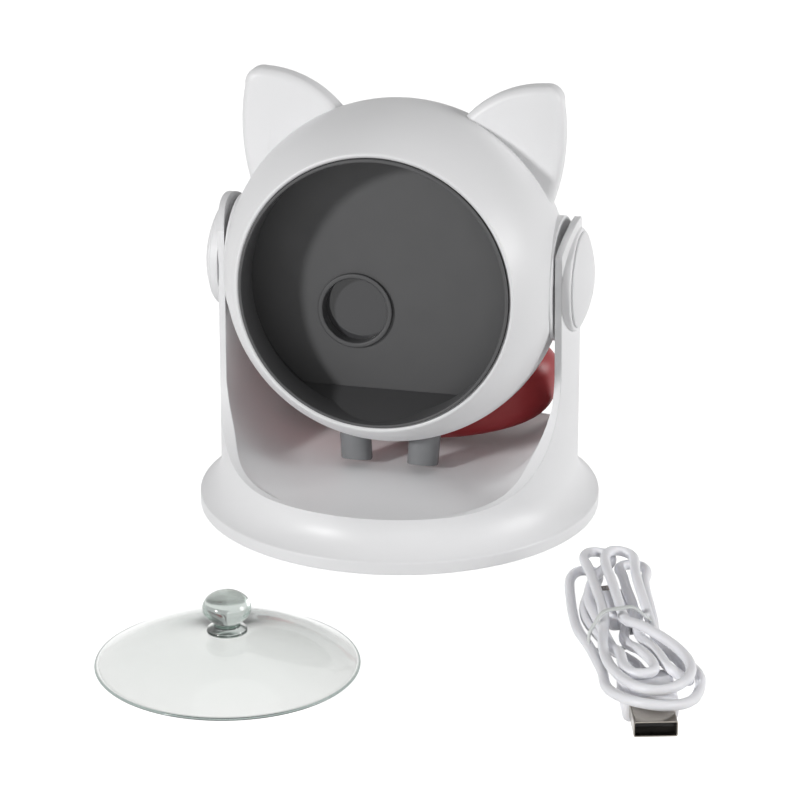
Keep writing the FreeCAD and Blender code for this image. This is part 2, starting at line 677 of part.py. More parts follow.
def make_base_fasteners():
    seats = [(x, y, "plate_bottom + base_screw_head_height") for x, y in base_screw_spots()]
    screws("base_screws", seats, "Z", "base_screw_head", "base_screw_head_height", "base_screw_shank",
           "base_screw_length")
    pads = [cylinder("pad_radius", "plate_bottom + pad_recess",
                     (f"pad_circle * cos({angle} deg)", f"pad_circle * sin({angle} deg)", 0))
            for angle in CORNERS]
    part("foot_pads", fuse(*pads))


def make_pivot_caps():
    """Domed cap over each pivot screw, held by a spigot in the boss's recess."""
    dome = "((cap_radius ^ 2 + cap_dome ^ 2) / (2 * cap_dome))"
    for label, half_turn in (("pivot_cap_right", 0), ("pivot_cap_left", 180)):
        ball = sphere(dome, (f"boss_face + cap_rim + cap_dome - {dome}", 0, 0), "X")
        disc = cylinder("cap_radius", "cap_rim + cap_dome", ("boss_face", 0, 0), "X")
        spigot = cylinder("pivot_recess_radius - seat_gap", "cap_spigot",
                          ("boss_face - cap_spigot", 0, 0), "X")
        part(label, fuse(common(ball, disc), spigot),
             spot((0, 0, "pivot_height"), f"rotation(vector(0; 0; 1); {half_turn})"))


def make_pivot_hardware():
    """Shoulder screw, brass insert and friction washer on each side of the head."""
    rods, inserts, washers = [], [], []
    for turn, back, sign in (("X", "-X", ""), ("-X", "X", "-")):
        hub = (f"{sign}hub_face", 0, 0)
        seat = "pivot_recess_floor + running_gap"
        rods.append(fuse(
            cylinder("pivot_shoulder", f"{seat} - hub_face", hub, turn),
            cylinder("pivot_screw_head", "pivot_head_height", (f"{sign}({seat})", 0, 0), turn),
            cylinder("pivot_thread", "insert_length", hub, back)))
        inserts.append(tube("insert_radius - seat_gap", "pivot_thread + seat_gap", "insert_length",
                            hub, back))
        washers.append(tube("washer_radius", "pivot_shoulder + seat_gap", "washer_thickness", hub, turn))
    head_part("pivot_screws", fuse(*rods))
    head_part("pivot_inserts", fuse(*inserts))
    head_part("friction_washers", fuse(*washers))


# ---------------------------------------------------------------- head shells

BALL = (0, "ball_y", 0)


def head_skin():
    """Ball with two flat-faced side hubs, still solid."""
    ball = common(sphere("ball_radius", BALL), box("2 * hub_face", FAR, FAR, (0, 0, -FAR / 2)))
    hubs = cylinder("hub_radius", "2 * hub_face", ("-hub_face", 0, 0), "X")
    back = box(FAR, FAR, FAR, (0, f"facet_y - {FAR / 2}", -FAR / 2))
    return common(fuse(ball, hubs), back)


def half_space(y_face, behind):
    """Large box behind or in front of a plane across the head's Y axis."""
    shift = f"{y_face} + {FAR / 2}" if behind else f"{y_face} - {FAR / 2}"
    return box(FAR, FAR, FAR, (0, shift, -FAR / 2))


def shell_screw_spots(y):
    return around("shell_screw_circle", CORNERS, y)


def make_front_shell():
    """Front three quarters of the ball: opening, hubs, screw bosses and peg holes for the ears."""
    wall = cut(head_skin(), sphere("cavity_radius", BALL))
    inside = sphere("cavity_radius + ball_wall / 2", BALL)
    bosses = []
    for turn, sign in (("X", ""), ("-X", "-")):
        inner_end = (f"{sign}(hub_face - hub_boss_depth)", 0, 0)
        bosses.append(cylinder("hub_boss_radius", "hub_boss_depth", inner_end, turn))
    chassis_bosses = [cylinder("chassis_boss_radius", "chassis_boss_depth", place, "-Y")
                      for place in around("chassis_boss_circle", CORNERS, "chassis_front_y")]
    joint_bosses = [cylinder("shell_boss_radius", "shell_boss_depth", place, "-Y")
                    for place in shell_screw_spots("split_y")]
    bosses.append(common(inside, fuse(*chassis_bosses, *joint_bosses)))
    cutters = [cylinder("opening_radius", FAR, BALL, "-Y")]
    for turn, sign in (("-X", ""), ("X", "-")):
        cutters.append(cylinder("insert_radius", "insert_length", (f"{sign}hub_face", 0, 0), turn))
        for across in ("ear_peg_across", "ear_peg_across + 8"):
            cutters.append(cylinder("ear_peg_radius + seat_gap", FAR,
                                    (f"{sign}({across})", "ball_y + ear_front + ear_thickness / 2 + 4", 0)))
    cutters += [cylinder("chassis_screw_shank + seat_gap", "chassis_boss_depth - 1", place, "-Y")
                for place in around("chassis_screw_circle", CORNERS, "chassis_front_y")]
    cutters += [cylinder("shell_screw_shank + seat_gap", "shell_boss_depth - 1", place, "-Y")
                for place in shell_screw_spots("split_y")]
    head_part("front_shell", cut(common(fuse(wall, *bosses), half_space("split_y", False)), *cutters))


def make_rear_shell():
    """Back of the ball with the flat facet for the charge socket, the button and the status light."""
    hollow = common(sphere("cavity_radius", BALL), half_space("inside_y", False))
    wall = cut(head_skin(), hollow)
    bosses = common(head_skin(), fuse(*[cylinder("shell_boss_radius", FAR, place, "Y")
                                        for place in shell_screw_spots("split_y")]))
    recess = [cylinder("shell_screw_head + 0.2", FAR, place, "Y")
              for place in shell_screw_spots("split_y + shell_screw_floor")]
    holes = [cylinder("shell_screw_shank + 0.1", FAR, place, "Y")
             for place in shell_screw_spots("split_y - 1")]
    mouth = box("port_width + 2 * port_gap", FAR, "port_height + 2 * port_gap",
                (0, f"inside_y - 1 + {FAR / 2}", "board_top - port_gap"))
    button = cylinder("button_radius + running_gap", FAR,
                      ("-button_across", "inside_y - 1", "button_up_z"), "Y")
    light = cylinder("pipe_radius + seat_gap", FAR, ("button_across", "inside_y - 1", "button_up_z"), "Y")
    solid = common(fuse(wall, bosses), half_space("split_y", True))
    head_part("rear_shell", cut(solid, mouth, button, light, *recess, *holes))
    screws("shell_screws", shell_screw_spots("split_y + shell_screw_floor"), "-Y", "shell_screw_head",
           "shell_screw_head_height", "shell_screw_shank",
           "shell_screw_floor + shell_boss_depth - 1.5", HEAD_FRAME)


def ear_blank():
    """Right ear: a flat pointed plate with rounded edges, cut to the ball, with two pegs."""
    tip = (now.ear_tip_across, now.ear_tip_height)
    slope = math.radians(now.ear_slope)
    start = (tip[0] - now.ear_root_run, tip[1] - now.ear_root_drop)
    top = (tip[0] - now.ear_tip_radius * math.sin(slope), tip[1] + now.ear_tip_radius * math.cos(slope))
    sag = ((start[0] + top[0]) / 2 + 0.2, (start[1] + top[1]) / 2 - 0.5)
    crown = arc_point(tip, now.ear_tip_radius, 45)
    side = (tip[0] + now.ear_tip_radius * 0.99, tip[1] - 0.6)
    bulge = (side[0] + 1.4, side[1] - 12)
    foot = (tip[0] + 2.0, tip[1] - now.ear_side_drop)
    face = [vector(x, 0, z) for x, z in (start, sag, top, crown, side, bulge, foot)]
    begin, middle, joint, crown, side, bulge, foot = face
    hidden = vector(now.ear_foot_across, 0, now.ear_foot_height)
    wire = round_of([begin, (middle, joint), (crown, side), (bulge, foot), hidden])
    blank = Part.Face(wire).extrude(vector(0, now.ear_thickness, 0))
    edges = [edge for edge in blank.Edges
             if abs(edge.Vertexes[0].Y - edge.Vertexes[-1].Y) < TINY
             and edge.BoundBox.ZMax > now.ear_round_above]
    blank = blank.makeFillet(now.ear_edge_radius, edges)
    blank.translate(vector(0, now.ball_y - now.ear_front, 0))
    return blank


def make_ears():
    blank = ear_blank()
    for label, sign in (("right_ear", ""), ("left_ear", "-")):
        shape = blank if sign == "" else blank.mirror(vector(0, 0, 0), vector(1, 0, 0))
        pegs = [cylinder("ear_peg_radius", "10",
                         (f"{sign}({across})", "ball_y + ear_front + ear_thickness / 2 + 4", height))
                for across, height in (("ear_peg_across", "37.5"), ("ear_peg_across + 8", "31"))]
        body = cut(shaped(shape), sphere("ball_radius", BALL))
        head_part(label, fuse(body, *pegs))


def make_collar():
    """Oval band with round edges under the head, cut to the ball, level at rest."""
    tilt = math.radians(now.rest_tilt)
    ring = Part.Ellipse(vector(0, 0, 0), now.collar_half_width, now.collar_half_depth).toShape()
    solid = Part.Face(Part.Wire([ring])).extrude(vector(0, 0, now.collar_height))
    rims = [edge for edge in solid.Edges if abs(edge.Vertexes[0].Z - edge.Vertexes[-1].Z) < TINY]
    solid = solid.makeFillet(now.collar_round, rims)
    solid.translate(vector(0, now.collar_back, -now.collar_drop))
    ball_middle = vector(0, now.ball_y * math.cos(tilt), -now.ball_y * math.sin(tilt))
    ball = Part.makeSphere(now.ball_radius, ball_middle)
    part("collar", shaped(solid.cut(ball)), spot((0, 0, "pivot_height")))


def make_stub_feet():
    """Two short stubs under the chin, whose ends follow the deck's clearance circle."""
    stubs = [cylinder("stub_radius", "20", (f"{sign}stub_across", "-stub_forward", "-stub_swing - 1"))
             for sign in ("", "-")]
    swing = cylinder("stub_swing", FAR, (-FAR / 2, 0, 0), "X")
    head_part("stub_feet", cut(common(fuse(*stubs), swing), sphere("ball_radius", BALL)))


# ---------------------------------------------------------------- cavity and turret

def make_liner():
    """Dark tube behind the opening, with a lip and a sloping ledge at the bottom."""
    body = turned([
        ("liner_lip_inner", "liner_lip_front"),
        ("lip_outer", "liner_lip_front"),
        ("lip_outer", "liner_lip_back + liner_wall"),
        ("liner_outer", "liner_lip_back + liner_wall"),
        ("liner_outer", "-chassis_front"),
        ("liner_inner", "-chassis_front"),
        ("liner_inner", "liner_lip_back"),
        ("liner_lip_inner", "liner_lip_back"),
    ])
    bind(body, Placement=spot(BALL, "-Y"))
    wide = cylinder("liner_inner + liner_wall / 2", "liner_lip_back - floor_forward",
                    (0, "floor_y - 0.3", 0), "-Y")
    narrow = cylinder("liner_lip_inner + 0.3", "liner_lip_front - liner_lip_back - 0.5",
                      (0, "ball_y - liner_lip_back - 0.2", 0), "-Y")
    below = doc.addObject("Part::Box", "Below")
    bind(below, Length=FAR, Width=FAR, Height=FAR,
         Placement=spot((-FAR / 2, "floor_y", "-ledge_height"), "rotation(vector(1; 0; 0); ledge_slope)")
         + " * " + spot((0, -FAR / 2, -FAR)))
    head_part("cavity_liner", fuse(body, common(fuse(wide, narrow), below)))


def make_turret():
    """Turning disc with the off-centre port's tube and a hub for the spindle."""
    port = ("-port_across", "floor_y", "-port_below")
    disc = cylinder("turret_radius", "turret_thickness", (0, "floor_y", 0), "Y")
    sleeve = cylinder("port_outer", "port_depth", port, "Y")
    hub = cylinder("spindle_hub", "gear_front_y - floor_y", (0, "floor_y", 0), "Y")
    bore = cylinder("port_inner", FAR, ("-port_across", "floor_y - 1", "-port_below"), "Y")
    pin = cylinder("spindle_radius", FAR, (0, "ball_y - spindle_front", 0), "Y")
    head_part("turret_disc", cut(fuse(disc, sleeve, hub), bore, pin))
    ring = cut(
        cylinder("port_outer", "port_proud", port, "-Y"),
        cylinder("port_inner", "port_proud", port, "-Y"),
        cone("port_inner", "port_inner + port_proud / 2", "port_proud / 2 + 0.01",
             ("-port_across", "ring_front_y + port_proud / 2", "-port_below"), "-Y"))
    head_part("port_ring", ring)
    window = plate("window_thickness", ("0", "0", "port_inner - seat_gap"))
    part("laser_window", window, HEAD_FRAME + " * " + spot(("-port_across", "window_y", "-port_below"), "Y"))
    spindle = cut(
        cylinder("spindle_radius", "spindle_front + spindle_back", (0, "ball_y - spindle_front", 0), "Y"),
        tube("spindle_radius + 1", "clip_groove", "clip_thickness", (0, "chassis_back_y + 0.1", 0), "Y"))
    head_part("spindle_pin", spindle)
    head_part("spindle_bush", tube("bush_radius", "spindle_radius + running_gap", "chassis_thickness",
                                   (0, "chassis_front_y", 0), "Y"))
    head_part("spindle_clip", tube("clip_radius", "clip_groove + seat_gap", "clip_thickness - 2 * seat_gap",
                                   (0, "chassis_back_y + 0.1 + seat_gap", 0), "Y"))


def make_laser():
    """Laser module in a holder that closes the back of the port's tube."""
    port_x, port_z = "-port_across", "-port_below"
    back_of_window = "window_y + window_thickness"
    disc = cylinder("port_inner - seat_gap", f"port_back_y - ({back_of_window})",
                    (port_x, back_of_window, port_z),
                    "Y")
    barrel = cylinder("holder_radius", "ball_y + laser_back - port_back_y",
                      (port_x, "port_back_y", port_z), "Y")
    bore = cylinder("laser_radius", FAR, (port_x, f"{back_of_window} - 1", port_z), "Y")
    head_part("laser_holder", cut(fuse(disc, barrel), bore))
    module = cylinder("laser_radius - seat_gap", f"ball_y + laser_back - ({back_of_window}) - 0.2",
                      (port_x, f"{back_of_window} + 0.2", port_z), "Y")
    lens = cylinder("laser_radius / 2", "1.5", (port_x, f"{back_of_window} + 0.2", port_z), "Y")
    head_part("laser_module", cut(module, lens))


def gear_wire(teeth, phase):
    """Involute outline with 25 degree flanks, stub teeth and a little play, in the XY plane."""
    pressure = math.radians(25)
    pitch = now.gear_module * teeth / 2
    base = pitch * math.cos(pressure)
    tip = pitch + 0.8 * now.gear_module
    root = pitch - now.gear_module
    half = math.pi / (2 * teeth) - now.gear_backlash / (4 * pitch)

    def half_angle(radius):
        slant = math.acos(min(1.0, base / radius))
        return half + (math.tan(pressure) - pressure) - (math.tan(slant) - slant)

    steps = 3
    start = max(base, root)
    radii = [start + (tip - start) * step / steps for step in range(steps + 1)]
    flank = [(root, half_angle(start))] if root < base - 0.05 else []
    flank += [(radius, half_angle(radius)) for radius in radii]
    points = []
    for tooth in range(teeth):
        middle = 2 * math.pi * tooth / teeth + phase
        for radius, angle in flank:
            points.append((radius, middle - angle))
        for radius, angle in reversed(flank):
            points.append((radius, middle + angle))
    corners = [vector(radius * math.cos(angle), radius * math.sin(angle), 0) for radius, angle in points]
    return Part.makePolygon(corners + [corners[0]])


def make_gears():
    """Drive gear on the turret's hub, and the pinion on the motor's shaft above it."""
    gear_teeth = round(now.gear_teeth)
    pinion_teeth = round(now.pinion_teeth)
    upward = math.pi / 2
    wire = gear_wire(gear_teeth, upward + math.pi / gear_teeth)
    blank = Part.Face(wire).extrude(vector(0, 0, now.gear_width))
    gear = shaped(blank)
    bind(gear, Placement=spot((0, "gear_back_y", 0), "-Y"))
    cutters = [cylinder("spindle_radius", FAR, (0, -FAR / 2, 0), "Y"),
               cylinder("holder_radius + 0.3", FAR, ("-port_across", -FAR / 2, "-port_below"), "Y")]
    head_part("drive_gear", cut(gear, *cutters))
    blank = Part.Face(gear_wire(pinion_teeth, -upward)).extrude(vector(0, 0, now.gear_width - 0.6))
    pinion = shaped(blank)
    bind(pinion, Placement=spot((0, "gear_back_y - 0.3", "gear_distance"), "-Y"))
    head_part("motor_pinion", cut(pinion, cylinder("shaft_radius", FAR, (0, -FAR / 2, "gear_distance"), "Y")))
    shaft_length = "chassis_back_y + gearbox_length / 2 - gear_front_y - 0.3"
    head_part("motor_shaft", cylinder("shaft_radius", shaft_length,
                                      (0, "gear_front_y + 0.3", "gear_distance"), "Y"))


# ---------------------------------------------------------------- chassis, drive and power

def make_chassis():
    """Round plate that carries the drive in front and the board and battery behind."""
    disc = cylinder("chassis_radius", "chassis_thickness", (0, "chassis_front_y", 0), "Y")
    arms = [box("shelf_width", "ball_y + shelf_back - chassis_back_y + 0.5", "shelf_height",
                (f"{sign}shelf_across", "(ball_y + shelf_back + chassis_back_y - 0.5) / 2",
                 "board_top - board_thickness - shelf_height")) for sign in ("", "-")]
    bush = cylinder("bush_radius", FAR, (0, -FAR / 2, 0), "Y")
    hub_room = cylinder("hub_boss_radius + 0.4", FAR, (-FAR / 2, 0, 0), "X")
    hub_room = cut(hub_room, cylinder("hub_face - hub_boss_depth - 0.4", FAR, (0, -FAR / 2, 0), "Y"))
    shaft = cylinder("2 * shaft_radius", FAR, (0, -FAR / 2, "gear_distance"), "Y")
    holes = [cylinder("chassis_screw_shank + 0.1", FAR, place, "Y")
             for place in around("chassis_screw_circle", CORNERS, "chassis_front_y - 1")]
    pilots = [cylinder("chassis_screw_shank + seat_gap", "shelf_height + 1", (x, y, z))
              for x, y, z in board_screw_spots("board_top - board_thickness - shelf_height - 0.5")]
    head_part("chassis_plate", cut(fuse(disc, *arms), bush, hub_room, shaft, *holes, *pilots))
    screws("chassis_screws", around("chassis_screw_circle", CORNERS, "chassis_back_y"), "-Y",
           "chassis_screw_head - 0.3", "1", "chassis_screw_shank", "chassis_thickness + 5", HEAD_FRAME)


def board_screw_spots(height):
    return [(f"{sign}shelf_across", "ball_y + shelf_back - 4", height) for sign in ("", "-")]


def make_drive():
    """Gearbox, motor and the clamp that holds them to the chassis plate."""
    size = ("gearbox_width", "gearbox_length", "gearbox_height")
    middle = (0, "chassis_back_y + gearbox_length / 2", "gear_distance - gearbox_height / 2")
    bore = cylinder("shaft_radius + running_gap", "gearbox_length / 2 + 1",
                    (0, "chassis_back_y - 0.5", "gear_distance"), "Y")
    head_part("gearbox", cut(box(*size, middle), bore))
    can = common(
        cylinder("gearbox_width / 2", "motor_length",
                 (0, "chassis_back_y + gearbox_length", "gear_distance"), "Y"),
        box("gearbox_width", "motor_length", "gearbox_height",
            (0, "chassis_back_y + gearbox_length + motor_length / 2", "gear_distance - gearbox_height / 2")))
    head_part("motor_can", can)
    clamp = cut(
        box("gearbox_width + 2 * clamp_wall", "gearbox_length - 2", "gearbox_height + clamp_wall",
            (0, "chassis_back_y + (gearbox_length - 2) / 2", "gear_distance - gearbox_height / 2")),
        box("gearbox_width + 0.1", "gearbox_length", "gearbox_height + 0.05",
            (0, "chassis_back_y + gearbox_length / 2 - 0.5", "gear_distance - gearbox_height / 2 - 0.01")))
    head_part("motor_clamp", clamp)


def make_battery():
    """Round cell across the head in a cradle that stands off the chassis plate."""
    cell = cylinder("cell_radius", "cell_length", ("-cell_length / 2", "ball_y + cell_back", "cell_up"), "X")
    head_part("battery_cell", cell)
    low = "cell_up - cell_radius - cradle_wall"
    trough = box("cell_length + 2 * cradle_wall", "cradle_depth", "cradle_height",
                 (0, "ball_y + cell_back", low))
    legs = [box("6", "cell_back - cradle_depth / 2 - chassis_front - chassis_thickness + 1", "4",
                (f"{sign}24", "(chassis_back_y + ball_y + cell_back - cradle_depth / 2 + 1) / 2", low))
            for sign in ("", "-")]
    hollow = cylinder("cell_radius + running_gap", "cell_length + 0.2",
                      ("-cell_length / 2 - 0.1", "ball_y + cell_back", "cell_up"), "X")
    head_part("battery_cradle", cut(fuse(trough, *legs), hollow))


def make_board():
    """Main board on the shelf arms, with its charge socket, tact switch and status light."""
    back_y = "ball_y + board_back"
    board = box("2 * board_half_width", "board_back - board_front", "board_thickness",
                (0, "ball_y + (board_back + board_front) / 2", "board_top - board_thickness"))
    chips = [box("7", "7", "1", (0, "ball_y + board_front + 8", "board_top - 0.01")),
             box("5", "4", "1.6", (-8, "ball_y + board_front + 16", "board_top - 0.01")),
             box("5", "6", "3", (9, "ball_y + board_front + 14", "board_top - 0.01"))]
    holes = [cylinder("chassis_screw_shank + 0.1", FAR, (x, y, -FAR / 2))
             for x, y, z in board_screw_spots("0")]
    head_part("main_board", cut(fuse(board, *chips), *holes))
    screws("board_screws", board_screw_spots("board_top"), "-Z", "chassis_screw_head", "1",
           "chassis_screw_shank", "board_thickness + shelf_height - 0.2", HEAD_FRAME)
    reach = "ball_y + port_reach"
    socket = box("port_width", "port_length", "port_height", (0, f"{reach} - port_length / 2", "board_top"))
    slot = box("port_width - 2 * port_shell", "port_length - 1", "port_height - 2 * port_shell",
               (0, f"{reach} - (port_length - 1) / 2 + 0.01", "board_top + port_shell"))
    head_part("charge_socket", cut(socket, slot))
    # the switch's plunger stops short of the button's stem by the travel and a little more
    switch = box("switch_width", "switch_depth", "port_height", (
        "-button_across - 0.5", f"{back_y} - switch_depth / 2", "board_top"))
    plunger = cylinder("1", "switch_depth",
                       ("-button_across", f"{back_y} - switch_depth + 0.6", "button_up_z"), "Y")
    head_part("tact_switch", fuse(switch, plunger))
    body = cylinder("button_radius", "facet_y + button_proud - inside_y + button_travel + 0.2",
                    ("-button_across", "inside_y - button_travel - 0.2", "button_up_z"), "Y")
    flange = cylinder("button_flange", "0.8", ("-button_across", "inside_y - 0.85", "button_up_z"), "Y")
    stem = cylinder("1.2", f"inside_y - ({back_y}) - 1 - button_travel - 0.1 + 0.3",
                    ("-button_across", f"{back_y} + 0.7 + button_travel", "button_up_z"), "Y")
    head_part("mode_button", fuse(body, flange, stem))
    light = box("3", "2", "button_up + 1.2", ("button_across", f"{back_y} - 2", "board_top"))
    head_part("status_led", light)
    pipe = fuse(
        cylinder("pipe_radius", f"facet_y - ({back_y}) + 0.8",
                 ("button_across", f"{back_y} - 0.8", "button_up_z"),
                 "Y"),
        cylinder("pipe_radius + 0.8", "0.8", ("button_across", "inside_y - 0.8", "button_up_z"), "Y"))
    head_part("light_pipe", pipe)


# ---------------------------------------------------------------- suction cup

def make_suction_cup():
    """Thin dome with a ring round its neck and a ball knob, lying rim down on the floor."""
    radius, rim, tall = now.cup_radius, now.cup_rim, now.cup_height
    collar = now.cup_neck + 3
    outer_half = vector(radius * 0.62, 0, tall * 0.66)
    skirt = round_of([
        vector(radius - 0.6, 0, 0),
        vector(radius, 0, rim / 2),
        vector(radius - 0.4, 0, rim),
        (outer_half, vector(collar, 0, tall - 0.9)),
        vector(collar, 0, tall),
        vector(now.cup_neck, 0, tall + 1.0),
        vector(now.cup_neck, 0, now.cup_knob_height),
        vector(0, 0, now.cup_knob_height),
        vector(0, 0, tall - now.cup_wall),
        (vector(radius * 0.6, 0, tall * 0.46), vector(radius - 1.6, 0, 0)),
    ])
    cup = revolved(skirt).fuse(Part.makeSphere(now.cup_knob, vector(0, 0, now.cup_knob_height)))
    part("suction_cup", shaped(cup.removeSplitter()), spot(("cup_across", "-cup_forward", 0)))


# ---------------------------------------------------------------- charging cable

def plug_piece(width, length, height, at, turn, lift):
    """Box centred on the plug's axis that starts at its joint with the metal shell."""
    piece = doc.addObject("Part::Box", "PlugPiece")
    bind(piece, Length=width, Width=length, Height=height,
         Placement=spot((at[0], at[1], 0), f"rotation(vector(0; 0; 1); {turn})")
         + " * " + spot((f"-({width}) / 2", lift[0], lift[1])))
    return piece


def plug_set(prefix, at, turn, grip, shell, wall, tongue):
    """Grip, hollow metal shell and tongue of a plug whose shell points along its local -Y."""
    grip_width, grip_length, grip_height = grip
    shell_width, shell_length, shell_height = shell
    middle = f"({grip_height}) / 2"
    low = f"{middle} - ({shell_height}) / 2"
    part(prefix + "_overmould", plug_piece(grip_width, grip_length, grip_height, at, turn, ("0", "0")))
    skin = plug_piece(shell_width, shell_length, shell_height, at, turn, (f"-({shell_length})", low))
    inner_width = f"{shell_width} - 2 * {wall}"
    hollow = plug_piece(inner_width, f"{shell_length} - {wall} + 0.01", f"{shell_height} - 2 * {wall}",
                        at, turn, (f"-({shell_length}) - 0.01", f"{low} + {wall}"))
    part(prefix + "_shell", cut(skin, hollow))
    if tongue:
        back = f"-({shell_length}) + tongue_recess"
        length = f"{shell_length} - tongue_recess - {wall}"
        part(prefix + "_tongue", plug_piece(f"{inner_width} - 0.1", length, "tongue_height", at, turn,
                                            (back, f"{low} + {wall}")))


def make_charging_cable():
    """Hank outline through chosen points, cut clear of the plugs that lie in it."""
    spots = [(70, -38), (82, -42), (87, -58), (94, -82), (106, -100), (116, -114), (114, -130), (101, -139),
             (90, -133), (83, -112), (77, -94), (66, -76), (63, -56)]
    plug_at = ("plug_across", "-plug_forward")
    tail_at = ("tail_across", "-tail_forward")
    curve = Part.BSplineCurve()
    curve.interpolate([vector(x, y, 0) for x, y in spots], PeriodicFlag=True)
    solid = shaped(Part.Face(Part.Wire([curve.toShape()])).extrude(vector(0, 0, now.hank_height)))
    plug_set("usb_a", plug_at, "plug_turn", ("grip_width", "grip_length", "grip_height"),
             ("plug_width", "plug_length", "plug_height"), "plug_wall", True)
    plug_set("usb_c", tail_at, "tail_turn", ("tail_width", "tail_length", "tail_height"),
             ("tail_shell_width", "tail_shell_length", "tail_shell_height"), "port_shell", False)
    rooms = [
        plug_piece("grip_width", "grip_length", "grip_height", plug_at, "plug_turn", ("0", "0")),
        plug_piece("plug_width", "plug_length", "grip_height", plug_at, "plug_turn",
                   ("-plug_length", "0")),
        plug_piece("tail_width", "tail_length", "tail_height", tail_at, "tail_turn", ("0", "0")),
        plug_piece("tail_shell_width + tail_gap", "tail_shell_length", "tail_height", tail_at, "tail_turn",
                   ("-tail_shell_length", "0")),
    ]
    part("cable_hank", cut(solid, *rooms))
    band = doc.addObject("Part::Box", "Band")
    bind(band, Length="tie_length", Width="tie_width", Height="hank_height + tie_thickness",
         Placement=spot(("tie_across", "-tie_forward", 0), "rotation(vector(0; 0; 1); tie_turn)")
         + " * " + spot(("-tie_length / 2", 0, 0)))
    part("cable_tie", cut(band, solid))


# ---------------------------------------------------------------- whole model

make_yoke()
make_base_plate()
make_base_fasteners()
make_pivot_caps()
make_pivot_hardware()
make_front_shell()
make_rear_shell()
make_ears()
make_collar()
make_stub_feet()
make_liner()
make_turret()
make_laser()
make_gears()
make_chassis()
make_drive()
make_battery()
make_board()
make_suction_cup()
make_charging_cable()

doc.recompute()
for thing in doc.Objects:
    if "Invalid" in thing.State or "Error" in thing.State:
        raise RuntimeError(f"{thing.Label} ({thing.Name}) did not recompute: {thing.State}")
for piece in parts:
    if piece.Shape.isNull() or not piece.Shape.isValid():
        raise RuntimeError(f"{piece.Label} has no valid shape")
os.makedirs("parts", exist_ok=True)
for piece in parts:
    piece.Shape.exportStep(f"parts/{piece.Label}.step")
    print(piece.Label, "solids", len(piece.Shape.Solids), "volume", round(piece.Shape.Volume, 1))
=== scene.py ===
import json
import math

import bmesh
import bpy
import numpy as np
from bpy.props import FloatProperty, FloatVectorProperty, PointerProperty
from bpy.types import Operator, Panel, PropertyGroup
from mathutils import Matrix


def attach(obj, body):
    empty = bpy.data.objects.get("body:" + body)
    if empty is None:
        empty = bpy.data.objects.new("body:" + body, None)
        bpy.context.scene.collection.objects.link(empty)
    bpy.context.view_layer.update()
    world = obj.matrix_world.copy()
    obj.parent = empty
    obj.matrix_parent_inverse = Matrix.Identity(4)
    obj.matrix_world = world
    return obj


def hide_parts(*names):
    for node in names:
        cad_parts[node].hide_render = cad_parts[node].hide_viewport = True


bl_info = {
    "name": "Cat Laser Toy",
    "version": (1, 0, 0),
    "blender": (4, 5, 0),
    "location": "View3D > Sidebar > Cat Toy",
    "description": "Finished surfaces, cable and stage for a cat laser toy round a loaded mechanism",
    "category": "Object",
}

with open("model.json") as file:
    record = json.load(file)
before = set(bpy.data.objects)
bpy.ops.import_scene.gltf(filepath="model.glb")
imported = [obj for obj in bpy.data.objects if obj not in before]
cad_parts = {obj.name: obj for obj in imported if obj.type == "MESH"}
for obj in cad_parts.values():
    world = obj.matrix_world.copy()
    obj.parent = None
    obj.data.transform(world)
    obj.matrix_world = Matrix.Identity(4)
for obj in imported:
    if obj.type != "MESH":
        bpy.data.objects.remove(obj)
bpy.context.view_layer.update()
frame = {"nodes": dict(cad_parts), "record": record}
MM = 0.001
TILT = math.radians(4.0)


# ---- values a user would change

def linear(code):
    """sRGB hex to linear RGB."""
    values = np.array([int(code[place:place + 2], 16) for place in (1, 3, 5)]) / 255
    return tuple(np.where(values <= 0.04045, values / 12.92, ((values + 0.055) / 1.055) ** 2.4))


def length(label, millimetres, about):
    return FloatProperty(name=label, description=about, default=millimetres * MM, unit="LENGTH",
                         precision=5)


def colour(label, code, about):
    return FloatVectorProperty(name=label, description=about, default=linear(code), subtype="COLOR",
                               size=3, min=0, max=1)


